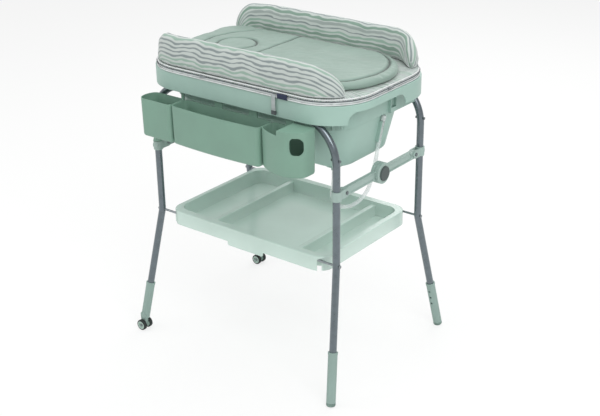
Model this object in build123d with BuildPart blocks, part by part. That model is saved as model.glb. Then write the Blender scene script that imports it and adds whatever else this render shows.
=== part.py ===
from build123d import *
from math import atan, cos, degrees, pi, radians, sin, sqrt, tan
import os

os.makedirs("parts", exist_ok=True)

# A folding changing table: a tub and a mat on two arched tube frames that fold
# together about two braces, with bins, a shelf tray, castors and height feet.
# +X runs along the table to its right end, -Y is the front, the floor is z = 0.

# Frame tubes
tube_od = 22.0
tube_wall = 1.5
leg_x = 343.0
leg_y = 216.0
bar_z = 843.0
arch_bend_radius = 125.0
arch_seam_drop = 8.0
knee_z = 414.0
knee_bend_radius = 60.0
foot_x = 384.0
foot_y = 300.0
spigot_grip = 20.0
spigot_gap = 0.1
spigot_wall = 1.5
spigot_turn = 13.0
arch_pin_turn = 9.0
arch_pin_r = 2.5
arch_pin_proud = 3.0
arch_pin_head_r = 4.2
arch_pin_head = 2.0

# Fits
running_gap = 0.3
hinge_gap = 0.08
press_gap = 0.05
overrun = 40.0

# Shelf rods
rod_r = 3.5
rod_cap_r = 5.5
rod_cap = 2.0
rod_cap_gap = 0.8

# Height sleeves, feet and castors
sleeve_od = 28.0
sleeve_top = 167.0
sleeve_floor = 6.0
tube_end_gap = 6.0
hole_r = 3.8
hole_pitch = 23.0
lowest_hole = 92.0
button_r = 3.4
button_press = 3.0
button_depth = 9.0
button_flange_r = 5.0
button_flange = 1.6
collar_band = 7.0
collar_proud = 0.8
pad_height = 12.0
pad_round = 6.0
pad_plug_r = 9.0
pad_plug = 15.0
caster_wheel_r = 17.7
caster_sleeve_end = 42.0
caster_web = 12.0
caster_boss_r = 9.0
caster_neck_r = 11.0
wheel_width = 12.5
wheel_gap = 0.6
tyre_depth = 4.2
tyre_round = 2.5
axle_r = 3.0
axle_cap_r = 5.0
axle_cap = 1.2
wheel_dish = 3.0
wheel_dish_r = 9.5

# Braces
brace_z = 632.0
brace_pivot_reach = 36.0
brace_height = 26.0
brace_thick = 12.0
brace_rib = 3.0
brace_recess = 2.5
clamp_od = 29.0
clamp_height = 28.0
cheek_thick = 4.0
brace_pin_r = 3.0
brace_pin_head_r = 5.5
brace_pin_head = 2.0
open_pivot_gap = 0.5
hub_r = 32.0
hub_back = 12.0
hub_front = 15.0
hub_gap = 0.6
lock_button_r = 22.0
lock_button_rise = 5.0
lock_button_wall = 2.5
lock_travel = 4.0
lock_pocket = 9.0
hub_rivet_r = 4.0
hub_rivet_head_r = 7.0
hub_rivet_head = 1.6

# Tub
rim_z = 890.0
rim_x = 388.0
rim_y = 242.0
rim_corner = 80.0
rim_wall = 3.0
rim_round = 2.0
skirt_depth = 55.0
lip_depth = 20.0
rear_skirt_x = 205.0
end_cut_front = 200.0
end_cut_rear = 60.0
end_cut_round = 34.0
notch_gap = 2.0
tub_wall = 3.0
opening_x = 333.0
opening_y = 190.0
opening_corner = 105.0
step_z = 798.0
step_depth = 6.0
step_x = 324.0
step_y = 180.0
step_corner = 100.0
floor_z = 670.0
floor_x = 298.0
floor_y = 138.0
floor_corner = 70.0
floor_round = 14.0
housing_x = 340.0
housing_y0 = 56.0
housing_y1 = 184.0
housing_in = 30.0
slot_width = 24.0
slot_height = 48.0
slot_depth = 7.0
slot_rise = 14.0
saddle_length = 46.0
saddle_x = 150.0
saddle_wall = 4.0
drain_x = 238.0
drain_y = -84.0
drain_boss_r = 26.0
drain_boss_height = 13.0
drain_bore_r = 14.0
drain_stub_r = 8.0
drain_stub = 14.0
drain_wall = 3.0
plug_r = 18.0
plug_height = 7.0
plug_stem_gap = 0.5
plug_stem = 7.0
plug_knob_r = 6.0
plug_knob = 9.0

# Drain hose and its clip on the end wall
hose_od = 12.0
hose_cap_r = 7.0
hose_cap = 15.0
clip_rib = 3.0
clip_rib_proud = 11.0
clip_z0 = 712.0
clip_z1 = 778.0
clip_y = 35.0
route_share = 0.45

# Bins on the front bar
bin_wall = 2.5
bin_bow = 8.0
bin_top = 812.0
bin_bottom = 692.0
bin_front = 306.0
bin_round = 14.0
bin_gap = 1.5
bin_foot_round = 8.0
bin_draft = 2.0
long_bin_x0 = -200.0
long_bin_x1 = 134.0
cup_x0 = -366.0
cup_inset = 6.0
cup_round = 33.0
cup_hook_width = 10.0
slot_start = 742.0
slot_pitch = 16.0
end_bin_x1 = 316.0
end_bin_corner = 36.0
end_bin_side = 284.0
end_bin_front = 315.0
end_bin_rise = 14.0
window_width = 46.0
window_height = 50.0
window_drop = 26.0
window_x = 287.0
window_round = 16.0
hood_share = 0.42
end_hook_x = 195.0
long_hook_shares = (0.39, 0.78)
hook_mouth = 3.0
hook_tail = 14.0
bin_hook_bite = 1.5
bin_hook_width = 30.0
bin_hook_wall = 3.0
collar_wall = 3.5
collar_gap = 1.5
collar_web = 10.0
collar_mouth = 18.0
collar_slot = 5.0
collar_slot_length = 14.0

# Shelf tray
tray_x = 304.0
tray_y = 225.0
tray_top = 427.0
tray_corner = 46.0
tray_wall = 2.8
tray_lip = 46.0
tray_floor_z = 381.0
basin_x = 286.0
basin_y = 200.0
basin_corner = 38.0
basin_draft = 8.0
tray_round = 4.0
divider_left = -143.0
divider_right = 188.0
divider_width = 16.0
divider_drop = 9.0
divider_spread = 4.0
divider_angle = 84.0
divider_inset = 12.0
tray_saddle_x = 235.0
tray_saddle_length = 22.0
tray_saddle_width = 16.0
saddle_shift = 2.0
rod_slot_length = 34.0
rod_slot_gap = 1.2
tray_tab_width = 138.0
tray_tab_drop = 13.0
tray_tab_x = 7.0
tray_tab_round = 6.0

# Mat
mat_gap = 0.3
mat_x = 392.0
mat_y = 246.0
mat_corner = 92.0
mat_thick = 17.0
mat_round = 7.0
bolster_length = 696.0
bolster_height = 92.0
bolster_thick = 44.0
bolster_lean = 8.0
bolster_y = 221.0
bolster_corner = 62.0
bolster_low_corner = 26.0
bolster_round = 15.0
front_bolster_x = 34.0
rear_bolster_x = -6.0
liner_x0 = -380.0
liner_x1 = 368.0
liner_half_width = 195.0
liner_nose = 150.0
liner_thick = 22.0
liner_round = 11.0
liner_corner = 84.0
seam_width = 5.0
seam_depth = 2.5
seam_inset = 37.0
head_seam_inset = 71.0
head_seam_nose = 119.0
cross_seam_x = -82.0
head_ring_x = -200.0
head_ring_r = 64.0
strap_x = 150.0
strap_width = 13.0
strap_thick = 1.6
strap_drop = 46.0
hook_height = 12.0
hook_width = 16.0
hook_thick = 4.0
tag_x = 182.0
tag_width = 22.0
tag_height = 13.0
tag_thick = 1.4

# Values worked out from the sizes above
tube_r = tube_od / 2
bore_r = tube_r - tube_wall
button_tip = sqrt(tube_r**2 - button_r**2)
sleeve_r = sleeve_od / 2
arch_z = bar_z - arch_bend_radius
arch_x = leg_x - arch_bend_radius
seam_z = arch_z - arch_seam_drop
brace_pivot_y = leg_y - brace_pivot_reach
plate_z = rim_z - rim_wall
upright = (Align.CENTER, Align.CENTER, Align.MIN)
leg_up = (Vector(leg_x, leg_y, knee_z) - Vector(foot_x, foot_y, 0)).normalized()
foot_reach = foot_x + pad_round * leg_up.X + sleeve_r * sqrt(1 - leg_up.X**2)
caster_x = foot_reach - caster_wheel_r
caster_y = foot_y + (leg_y - foot_y) * caster_wheel_r / knee_z
tray_taper = degrees(atan(basin_draft / (tray_top - tray_floor_z)))
corners = {
    "front_right": (1, -1),
    "rear_right": (1, 1),
    "front_left": (-1, -1),
    "rear_left": (-1, 1),
}


def save(part, name):
    part.label = name
    export_step(part, f"parts/{name}.step")


def leg_plane(side_x, side_y, distance=0.0):
    """A plane across a splayed lower leg: z points up the leg, x to the middle of the table."""
    foot = Vector(side_x * foot_x, side_y * foot_y, 0)
    knee = Vector(side_x * leg_x, side_y * leg_y, knee_z)
    up = (knee - foot).normalized()
    inward = Vector(0, -side_y, 0)
    across = (inward - up * inward.dot(up)).normalized()
    return Plane(origin=foot + up * distance, x_dir=across, z_dir=up)


def arch_point(side_x, side_y, turn):
    """A point on an arch's bend, at an angle above the place where the bend starts."""
    reach = arch_bend_radius * cos(radians(turn))
    rise = arch_bend_radius * sin(radians(turn))
    return Vector(side_x * (arch_x + reach), side_y * leg_y, arch_z + rise)


def brace_plane(side_x, out, y=0.0):
    """A plane across a side's braces, at a distance outward from the leg axes."""
    origin = (side_x * (leg_x + out), y, brace_z)
    return Plane(origin=origin, x_dir=(0, 1, 0), z_dir=(side_x, 0, 0))


def wall_x(z):
    """How far out the tub's end wall is at a height below the step."""
    return floor_x + (step_x - floor_x) * (z - floor_z) / (step_z - floor_z)


# Arch tubes with their pins
for place, side_y in (("rear", 1), ("front", -1)):
    pin_z = arch_point(1, side_y, arch_pin_turn).Z
    pin_x = arch_point(1, side_y, arch_pin_turn).X
    pin_half = tube_r + arch_pin_proud
    with BuildPart() as arch:
        with BuildLine() as arch_line:
            FilletPolyline(
                (-leg_x, side_y * leg_y, seam_z),
                (-leg_x, side_y * leg_y, bar_z),
                (leg_x, side_y * leg_y, bar_z),
                (leg_x, side_y * leg_y, seam_z),
                radius=arch_bend_radius,
            )
        with BuildSketch(Plane.XY.offset(seam_z)):
            with Locations((-leg_x, side_y * leg_y)):
                Circle(tube_r)
                Circle(bore_r, mode=Mode.SUBTRACT)
        sweep(path=arch_line.wire())
        with Locations((pin_x, side_y * leg_y, pin_z), (-pin_x, side_y * leg_y, pin_z)):
            Cylinder(arch_pin_r + press_gap, 2 * pin_half, rotation=(0, 90, 0), mode=Mode.SUBTRACT)
    save(arch.part, f"{place}_arch_tube")

    with BuildPart() as arch_pins:
        with Locations((pin_x, side_y * leg_y, pin_z), (-pin_x, side_y * leg_y, pin_z)):
            Cylinder(arch_pin_r, 2 * pin_half, rotation=(0, 90, 0))
        for side in (1, -1):
            for end in (1, -1):
                with Locations((side * pin_x + end * pin_half, side_y * leg_y, pin_z)):
                    Cylinder(arch_pin_head_r, arch_pin_head, rotation=(0, 90, 0))
    save(arch_pins.part, f"{place}_arch_pins")

    with BuildPart() as shelf_rod:
        rod_half = leg_x + tube_r + rod_cap_gap + rod_cap / 2
        with Locations((0, side_y * leg_y, knee_z)):
            Cylinder(rod_r, 2 * rod_half, rotation=(0, 90, 0))
        with Locations(
            (rod_half, side_y * leg_y, knee_z),
            (-rod_half, side_y * leg_y, knee_z),
        ):
            Cylinder(rod_cap_r, rod_cap, rotation=(0, 90, 0))
        fillet(shelf_rod.edges().group_by(Axis.X)[-1] + shelf_rod.edges().group_by(Axis.X)[0],
               radius=rod_cap / 4)
    save(shelf_rod.part, f"{place}_shelf_rod")

# Legs, their height sleeves, spring buttons, feet and castors
for corner, (side_x, side_y) in corners.items():
    x = side_x * leg_x
    y = side_y * leg_y
    sleeve_start = pad_height if side_x > 0 else caster_sleeve_end
    closed_end = pad_height + pad_plug if side_x > 0 else caster_sleeve_end
    bore_start = closed_end + sleeve_floor
    end_point = leg_plane(side_x, side_y, bore_start + tube_end_gap).origin
    button_plane = leg_plane(side_x, side_y, lowest_hole)
    button_out = Plane(origin=button_plane.origin, z_dir=button_plane.x_dir)
    spigot_r = bore_r - spigot_gap
    with BuildPart() as leg:
        with BuildLine() as leg_line:
            FilletPolyline((x, y, seam_z), (x, y, knee_z), end_point, radius=knee_bend_radius)
        with BuildSketch(Plane(origin=(x, y, seam_z), z_dir=(0, 0, -1))):
            Circle(tube_r)
            Circle(bore_r, mode=Mode.SUBTRACT)
        sweep(path=leg_line.wire())
        with BuildSketch(Plane(origin=(x, y, seam_z - spigot_grip))):
            Circle(bore_r + spigot_gap)
            Circle(spigot_r - spigot_wall, mode=Mode.SUBTRACT)
        extrude(amount=spigot_grip - spigot_gap)
        with BuildLine() as spigot_line:
            Line((x, y, seam_z - spigot_grip), (x, y, arch_z))
            ThreePointArc(
                (x, y, arch_z),
                arch_point(side_x, side_y, spigot_turn / 2),
                arch_point(side_x, side_y, spigot_turn),
            )
        with BuildSketch(Plane(origin=(x, y, seam_z - spigot_grip))):
            Circle(spigot_r)
            Circle(spigot_r - spigot_wall, mode=Mode.SUBTRACT)
        sweep(path=spigot_line.wire())
        with Locations((x, y, knee_z)):
            Cylinder(rod_r + press_gap, 2 * tube_od, rotation=(0, 90, 0), mode=Mode.SUBTRACT)
        with Locations(arch_point(side_x, side_y, arch_pin_turn)):
            Cylinder(arch_pin_r + press_gap, 2 * tube_od, rotation=(0, 90, 0), mode=Mode.SUBTRACT)
        with Locations(button_out):
            Cylinder(button_r + running_gap, tube_od, align=upright, mode=Mode.SUBTRACT)
    save(leg.part, f"leg_tube_{corner}")

    with BuildPart() as height_button:
        with Locations(button_out.offset(button_tip - button_depth)):
            Cylinder(button_r, button_depth, align=upright)
            Cylinder(button_flange_r, button_flange, align=upright)
    save(height_button.part, f"height_button_{corner}")

    with BuildPart() as sleeve:
        with BuildSketch(leg_plane(side_x, side_y, sleeve_start)):
            Circle(sleeve_r)
        extrude(amount=sleeve_top - sleeve_start)
        with BuildSketch(leg_plane(side_x, side_y, sleeve_top - collar_band)):
            Circle(sleeve_r + collar_proud)
        extrude(amount=collar_band)
        fillet(sleeve.edges().sort_by(Axis.Z)[-1], radius=collar_proud)
        if side_x < 0:
            with BuildSketch(Plane.XZ.offset(-side_y * caster_y)):
                with Locations((-caster_x, caster_wheel_r)):
                    Circle(caster_boss_r)
                with Locations((-caster_x, caster_sleeve_end + caster_boss_r)):
                    Circle(caster_neck_r)
                make_hull()
            extrude(amount=caster_web / 2, both=True)
            with Locations((-caster_x, side_y * caster_y, caster_wheel_r)):
                Cylinder(axle_r + hinge_gap, 2 * caster_web, rotation=(90, 0, 0), mode=Mode.SUBTRACT)
        with BuildSketch(leg_plane(side_x, side_y, bore_start)):
            Circle(tube_r + running_gap)
        extrude(amount=sleeve_top, mode=Mode.SUBTRACT)
        for step in range(3):
            hole_plane = leg_plane(side_x, side_y, lowest_hole + step * hole_pitch)
            with Locations(Plane(origin=hole_plane.origin, z_dir=hole_plane.x_dir)):
                Cylinder(hole_r, sleeve_od, align=upright, mode=Mode.SUBTRACT)
        if side_x > 0:
            with BuildSketch(leg_plane(side_x, side_y)):
                Circle(pad_plug_r + press_gap)
            extrude(amount=closed_end, mode=Mode.SUBTRACT)

    if side_x > 0:
        save(sleeve.part, f"foot_sleeve_{corner}")
        with BuildPart() as foot_pad:
            with BuildSketch(leg_plane(side_x, side_y)):
                Circle(sleeve_r)
            extrude(amount=pad_height)
            fillet(foot_pad.edges().sort_by(Axis.Z)[0], radius=pad_round)
            with BuildSketch(leg_plane(side_x, side_y, pad_height)):
                Circle(pad_plug_r)
            extrude(amount=pad_plug - tube_wall)
            split(bisect_by=Plane.XY, keep=Keep.TOP)
        save(foot_pad.part, f"foot_pad_{corner}")
        continue

    save(sleeve.part, f"caster_sleeve_{corner}")
    wheel_mid = caster_web / 2 + wheel_gap + wheel_width / 2
    wheel_outer = wheel_mid + wheel_width / 2
    wheel_spots = [(-caster_x, side_y * caster_y + end * wheel_mid, caster_wheel_r) for end in (1, -1)]
    with BuildPart() as wheel:
        with Locations(*wheel_spots):
            Cylinder(caster_wheel_r - tyre_depth, wheel_width, rotation=(90, 0, 0))
        for end in (1, -1):
            with Locations((-caster_x, side_y * caster_y + end * wheel_outer, caster_wheel_r)):
                Cylinder(wheel_dish_r, 2 * wheel_dish, rotation=(90, 0, 0), mode=Mode.SUBTRACT)
        with Locations(*wheel_spots):
            Cylinder(axle_r + press_gap, wheel_width, rotation=(90, 0, 0), mode=Mode.SUBTRACT)
    save(wheel.part, f"caster_wheel_{corner}")

    with BuildPart() as tyre:
        with Locations(*wheel_spots):
            Cylinder(caster_wheel_r, wheel_width, rotation=(90, 0, 0))
        fillet(tyre.edges().filter_by(GeomType.CIRCLE), radius=tyre_round)
        with Locations(*wheel_spots):
            Cylinder(
                caster_wheel_r - tyre_depth + press_gap,
                wheel_width,
                rotation=(90, 0, 0),
                mode=Mode.SUBTRACT,
            )
    save(tyre.part, f"caster_tyre_{corner}")

    with BuildPart() as axle:
        axle_half = wheel_outer - wheel_dish
        with Locations((-caster_x, side_y * caster_y, caster_wheel_r)):
            Cylinder(axle_r, 2 * axle_half, rotation=(90, 0, 0))
        for end in (1, -1):
            cap_y = side_y * caster_y + end * (axle_half + axle_cap / 2)
            with Locations((-caster_x, cap_y, caster_wheel_r)):
                Cylinder(axle_cap_r, axle_cap, rotation=(90, 0, 0))
    save(axle.part, f"caster_axle_{corner}")

# Braces: leg clamps, hinged bars, hubs with lock buttons, and pins
for side, side_x in (("right", 1), ("left", -1)):
    for end, side_y in (("rear", 1), ("front", -1)):
        pivot_y = side_y * brace_pivot_y
        cheek_in = brace_thick / 2 + running_gap
        with BuildPart() as clamp:
            with BuildSketch(Plane.XY.offset(brace_z - clamp_height / 2)):
                with Locations((side_x * leg_x, side_y * leg_y)):
                    Circle(clamp_od / 2)
            extrude(amount=clamp_height)
            for face_out in (cheek_in, -cheek_in - cheek_thick):
                with BuildSketch(brace_plane(side_x, face_out)):
                    with Locations((side_y * (leg_y + brace_pivot_y) / 2, 0)):
                        SlotCenterToCenter(brace_pivot_reach, brace_height)
                extrude(amount=cheek_thick)
            with Locations((side_x * leg_x, side_y * leg_y, brace_z)):
                Cylinder(tube_r + press_gap, 2 * clamp_height, mode=Mode.SUBTRACT)
            with Locations(brace_plane(side_x, 0, pivot_y)):
                Cylinder(brace_pin_r + press_gap, clamp_od, mode=Mode.SUBTRACT)
        save(clamp.part, f"brace_clamp_{end}_{side}")

        is_back = end == "rear"
        is_open = end == "front" and side == "left"
        hub_start = -hub_back if is_back else hub_gap / 2
        hub_depth = hub_back - hub_gap / 2 if is_back else hub_front - hub_gap / 2
        clear_start = -hub_gap / 2 if is_back else -brace_thick
        clear_depth = brace_thick if is_back else brace_thick + hub_gap / 2
        pin_gap = open_pivot_gap if is_open else hinge_gap
        with BuildPart() as brace:
            with BuildSketch(brace_plane(side_x, -brace_thick / 2)):
                with Locations((side_y * brace_pivot_y / 2, 0)):
                    SlotCenterToCenter(brace_pivot_y, brace_height)
            extrude(amount=brace_thick)
            for face_out in (brace_thick / 2 - brace_recess, -brace_thick / 2):
                with BuildSketch(brace_plane(side_x, face_out)):
                    with Locations((side_y * brace_pivot_y / 2, 0)):
                        SlotCenterToCenter(
                            brace_pivot_y - 2 * clamp_od, brace_height - 2 * brace_rib
                        )
                extrude(amount=brace_recess, mode=Mode.SUBTRACT)
            with BuildSketch(brace_plane(side_x, clear_start)):
                Circle(hub_r + hub_gap)
            extrude(amount=clear_depth, mode=Mode.SUBTRACT)
            with BuildSketch(brace_plane(side_x, hub_start)):
                Circle(hub_r)
            extrude(amount=hub_depth)
            if not is_back:
                fillet(brace.edges().filter_by(GeomType.CIRCLE).sort_by(
                    Axis.X, reverse=side_x > 0)[0], radius=brace_recess)
                with BuildSketch(brace_plane(side_x, hub_front - lock_pocket)):
                    Circle(lock_button_r + running_gap)
                extrude(amount=lock_pocket, mode=Mode.SUBTRACT)
            with Locations(brace_plane(side_x, 0)):
                rivet_gap = press_gap if is_back else hinge_gap
                Cylinder(hub_rivet_r + rivet_gap, 2 * hub_r, mode=Mode.SUBTRACT)
            with Locations(brace_plane(side_x, 0, pivot_y)):
                Cylinder(brace_pin_r + pin_gap, 2 * brace_thick, mode=Mode.SUBTRACT)
        save(brace.part, f"brace_{end}_{side}")

    with BuildPart() as rivet:
        rivet_start = -hub_back - hub_rivet_head
        rivet_end = hub_front - lock_pocket + running_gap + hub_rivet_head
        with BuildSketch(brace_plane(side_x, rivet_start)):
            Circle(hub_rivet_r)
        extrude(amount=rivet_end - rivet_start)
        for head_out in (rivet_start, rivet_end - hub_rivet_head):
            with BuildSketch(brace_plane(side_x, head_out)):
                Circle(hub_rivet_head_r)
            extrude(amount=hub_rivet_head)
    save(rivet.part, f"hub_rivet_{side}")

    with BuildPart() as lock_button:
        button_start = hub_front - lock_pocket + lock_travel + running_gap
        button_length = lock_pocket - lock_travel - running_gap + lock_button_rise
        with BuildSketch(brace_plane(side_x, button_start)):
            Circle(lock_button_r)
        extrude(amount=button_length)
        fillet(lock_button.edges().filter_by(GeomType.CIRCLE).sort_by(
            Axis.X, reverse=side_x > 0)[0], radius=lock_button_wall)
        with BuildSketch(brace_plane(side_x, button_start)):
            Circle(lock_button_r - lock_button_wall)
        extrude(amount=button_length - lock_button_wall, mode=Mode.SUBTRACT)
    save(lock_button.part, f"lock_button_{side}")

for end, side_y in (("rear", 1), ("front", -1)):
    pin_half = brace_thick / 2 + running_gap + cheek_thick
    with BuildPart() as brace_pins:
        for side_x in (1, -1):
            with Locations((side_x * leg_x, side_y * brace_pivot_y, brace_z)):
                Cylinder(brace_pin_r, 2 * pin_half, rotation=(0, 90, 0))
            for out in (1, -1):
                head_x = side_x * leg_x + out * (pin_half + brace_pin_head / 2)
                with Locations((head_x, side_y * brace_pivot_y, brace_z)):
                    Cylinder(brace_pin_head_r, brace_pin_head, rotation=(0, 90, 0))
    save(brace_pins.part, f"{end}_brace_pins")

# Tub: a tapered basin with a step, a rim plate and a skirt cut away at both ends
with BuildPart() as basin_space:
    with BuildSketch(Plane.XY.offset(floor_z + tub_wall)):
        RectangleRounded(2 * (floor_x - tub_wall), 2 * (floor_y - tub_wall), floor_corner - tub_wall)
    with BuildSketch(Plane.XY.offset(step_z + tub_wall)):
        RectangleRounded(2 * (step_x - tub_wall), 2 * (step_y - tub_wall), step_corner - tub_wall)
    loft()
    fillet(basin_space.edges().group_by(Axis.Z)[0], radius=floor_round - tub_wall)
    with BuildSketch(Plane.XY.offset(step_z + tub_wall)):
        RectangleRounded(
            2 * (step_x + step_depth - tub_wall),
            2 * (step_y + step_depth - tub_wall),
            step_corner + step_depth - tub_wall,
        )
    with BuildSketch(Plane.XY.offset(rim_z)):
        RectangleRounded(2 * opening_x, 2 * opening_y, opening_corner)
    loft()

with BuildPart() as tub:
    with BuildSketch(Plane.XY.offset(floor_z)):
        RectangleRounded(2 * floor_x, 2 * floor_y, floor_corner)
    with BuildSketch(Plane.XY.offset(step_z)):
        RectangleRounded(2 * step_x, 2 * step_y, step_corner)
    loft()
    fillet(tub.edges().group_by(Axis.Z)[0], radius=floor_round)
    with BuildSketch(Plane.XY.offset(step_z)):
        RectangleRounded(
            2 * (step_x + step_depth), 2 * (step_y + step_depth), step_corner + step_depth
        )
    with BuildSketch(Plane.XY.offset(plate_z)):
        RectangleRounded(
            2 * (opening_x + tub_wall), 2 * (opening_y + tub_wall), opening_corner + tub_wall
        )
    loft()
    housing_mid_x = housing_x - housing_in / 2
    housing_mid_y = (housing_y0 + housing_y1) / 2
    with Locations(
        (housing_mid_x, housing_mid_y, step_z),
        (-housing_mid_x, housing_mid_y, step_z),
    ):
        Box(housing_in, housing_y1 - housing_y0, plate_z - step_z, align=upright)
    with Locations(
        (housing_x, housing_y0 + slot_width / 2 + tub_wall, step_z + slot_rise),
        (-housing_x, housing_y0 + slot_width / 2 + tub_wall, step_z + slot_rise),
    ):
        Box(2 * slot_depth, slot_width, slot_height, align=upright, mode=Mode.SUBTRACT)
    with BuildSketch(Plane.XY.offset(rim_z - skirt_depth)):
        RectangleRounded(2 * rim_x, 2 * rim_y, rim_corner)
        RectangleRounded(
            2 * (rim_x - rim_wall),
            2 * (rim_y - rim_wall),
            rim_corner - rim_wall,
            mode=Mode.SUBTRACT,
        )
    extrude(amount=skirt_depth)
    with BuildSketch(Plane.XY.offset(plate_z)):
        RectangleRounded(2 * rim_x, 2 * rim_y, rim_corner)
    extrude(amount=rim_wall)
    fillet(tub.edges().group_by(Axis.Z)[-1], radius=rim_round)
    # An arched cut in each end of the skirt leaves a lip
    for cut_start in (housing_x + rim_wall, -rim_x - rim_wall):
        with BuildSketch(Plane.YZ.offset(cut_start)) as end_cut:
            with Locations(((end_cut_rear - end_cut_front) / 2, rim_z - lip_depth)):
                Rectangle(
                    end_cut_rear + end_cut_front,
                    skirt_depth,
                    align=(Align.CENTER, Align.MAX),
                )
            fillet(end_cut.vertices().group_by(Axis.Y)[-1], radius=end_cut_round)
        extrude(amount=rim_x - housing_x, mode=Mode.SUBTRACT)
    # The rear skirt stops where the arch bends down
    notch_length = leg_x + tube_r + notch_gap - rear_skirt_x
    notch_mid = rear_skirt_x + notch_length / 2
    with Locations((notch_mid, rim_y, rim_z - lip_depth), (-notch_mid, rim_y, rim_z - lip_depth)):
        Box(
            notch_length,
            2 * (rim_y - leg_y),
            skirt_depth,
            align=(Align.CENTER, Align.CENTER, Align.MAX),
            mode=Mode.SUBTRACT,
        )
    # Two upright ribs on the right end wall hold the hose
    for rib_y in (clip_y - hose_od / 2 - running_gap - clip_rib, clip_y + hose_od / 2 + running_gap):
        with BuildSketch(Plane.XZ.offset(-rib_y - clip_rib)):
            with BuildLine():
                Polyline(
                    (wall_x(clip_z0) - tub_wall / 2, clip_z0),
                    (wall_x(clip_z0) + clip_rib_proud, clip_z0),
                    (wall_x(clip_z1) + clip_rib_proud, clip_z1),
                    (wall_x(clip_z1) - tub_wall / 2, clip_z1),
                    close=True,
                )
            make_face()
        extrude(amount=clip_rib)
    add(basin_space.part, mode=Mode.SUBTRACT)
    with Locations((drain_x, drain_y, floor_z)):
        Cylinder(drain_bore_r, 2 * floor_round, mode=Mode.SUBTRACT)
save(tub.part, "tub")

for name, side_y, bar_fit in (
    ("tub_hinge_saddles", 1, hinge_gap),
    ("tub_rest_saddles", -1, running_gap),
):
    with BuildPart() as saddles:
        for middle in (saddle_x, -saddle_x):
            with BuildSketch(Plane.YZ.offset(middle - saddle_length / 2)):
                with Locations((side_y * leg_y, bar_z)):
                    Rectangle(
                        2 * (tube_r + saddle_wall),
                        plate_z - bar_z,
                        align=(Align.CENTER, Align.MIN),
                    )
                    if side_y > 0:
                        Circle(tube_r + saddle_wall)
                    Circle(tube_r + bar_fit, mode=Mode.SUBTRACT)
            extrude(amount=saddle_length)
    save(saddles.part, name)

# Drain fitting under the floor, and its plug
with BuildPart() as drain_fitting:
    with Locations((drain_x, drain_y, floor_z - drain_boss_height)):
        Cylinder(drain_boss_r, drain_boss_height, align=upright)
    fillet(drain_fitting.edges().group_by(Axis.Z)[0], radius=drain_wall)
    with Locations((drain_x, drain_y, floor_z - drain_boss_height - drain_stub)):
        Cylinder(drain_stub_r, drain_stub + drain_wall, align=upright)
        Cylinder(drain_stub_r - drain_wall, overrun, align=upright, mode=Mode.SUBTRACT)
    with Locations((drain_x, drain_y, floor_z - drain_boss_height + drain_wall)):
        Cylinder(drain_bore_r, drain_boss_height, align=upright, mode=Mode.SUBTRACT)
save(drain_fitting.part, "drain_fitting")

with BuildPart() as drain_plug:
    with Locations((drain_x, drain_y, floor_z + tub_wall)):
        Cylinder(plug_r, plug_height, align=upright)
        fillet(drain_plug.edges().group_by(Axis.Z)[-1], radius=plug_height / 2)
        Cylinder(plug_knob_r, plug_height + plug_knob, align=upright)
    with Locations((drain_x, drain_y, floor_z + tub_wall - plug_stem)):
        Cylinder(drain_bore_r - plug_stem_gap, plug_stem, align=upright)
save(drain_plug.part, "drain_plug")

# Drain hose: down from the drain stub, round a hanging loop and up to the clip on the end wall
hose_route = [
    Vector(238, -84, 643),
    Vector(238, -84, 608),
    Vector(244, -107, 560),
    Vector(257, -75, 521),
    Vector(274, -21, 519),
    Vector(293, 16, 557),
    Vector(304, 19, 611),
    Vector(308.5, 29, 655),
    Vector(311.5, 35, 697),
    Vector(320, 35, 743),
    Vector(327.8, 35, 781),
]


def corner_radius(before, corner, after):
    """The largest bend radius that two runs allow at a corner of a cord's route."""
    turn = radians((corner - before).get_angle(after - corner))
    shorter = min((corner - before).length, (after - corner).length)
    return route_share * shorter / tan(turn / 2)


hose_radii = [
    corner_radius(*hose_route[step : step + 3]) for step in range(len(hose_route) - 2)
]
print("hose bend radii", [round(radius) for radius in hose_radii])
with BuildPart() as drain_hose:
    with BuildLine() as hose_line:
        FilletPolyline(*hose_route, radius=hose_radii)
    hose_path = hose_line.wire()
    with BuildSketch(Plane(origin=hose_path @ 0, z_dir=hose_path % 0)):
        Circle(hose_od / 2)
    sweep(path=hose_path)
save(drain_hose.part, "drain_hose")
hose_length = hose_path.length
hose_section = pi * (hose_od / 2) ** 2
print("hose length", round(hose_length), "volume ratio",
      round(drain_hose.part.volume / (hose_section * hose_length), 4))

with BuildPart() as end_cap:
    with Locations(Plane(origin=hose_path @ 1, z_dir=hose_path % 1)):
        Cylinder(hose_cap_r, hose_cap, align=upright)
    fillet(end_cap.edges().group_by(Axis.Z)[-1], radius=hose_cap_r / 3)
save(end_cap.part, "hose_end_cap")

# Bins that hang on the front bar; their outlines are drawn from above, y towards the front
bin_height = bin_top - bin_bottom
bin_taper = degrees(atan(bin_draft / bin_height))
bin_back = leg_y + tube_r + running_gap + bin_hook_wall
cup_x1 = long_bin_x0 - bin_gap
end_bin_x0 = long_bin_x1 + bin_gap


def from_above(z):
    """A plane that looks down from a height, with local y towards the front."""
    return Plane(origin=(0, 0, z), x_dir=(1, 0, 0), z_dir=(0, 0, -1))


def bar_hook(middle, width):
    """A hook over the front bar, with a tail down the back wall of a bin."""
    with BuildPart() as hook:
        with BuildSketch(Plane.YZ.offset(middle - width / 2)):
            with Locations((-leg_y, bar_z)):
                Circle(tube_r + running_gap + bin_hook_wall)
                Circle(tube_r + running_gap, mode=Mode.SUBTRACT)
                with Locations((0, -hook_mouth)):
                    Rectangle(2 * tube_od, tube_od, align=(Align.CENTER, Align.MAX), mode=Mode.SUBTRACT)
            with Locations((-bin_back - bin_hook_bite, bar_z)):
                Rectangle(
                    bin_hook_wall + bin_hook_bite,
                    bar_z - bin_top + hook_tail,
                    align=(Align.MIN, Align.MAX),
                )
        extrude(amount=width)
    return hook.part


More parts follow.
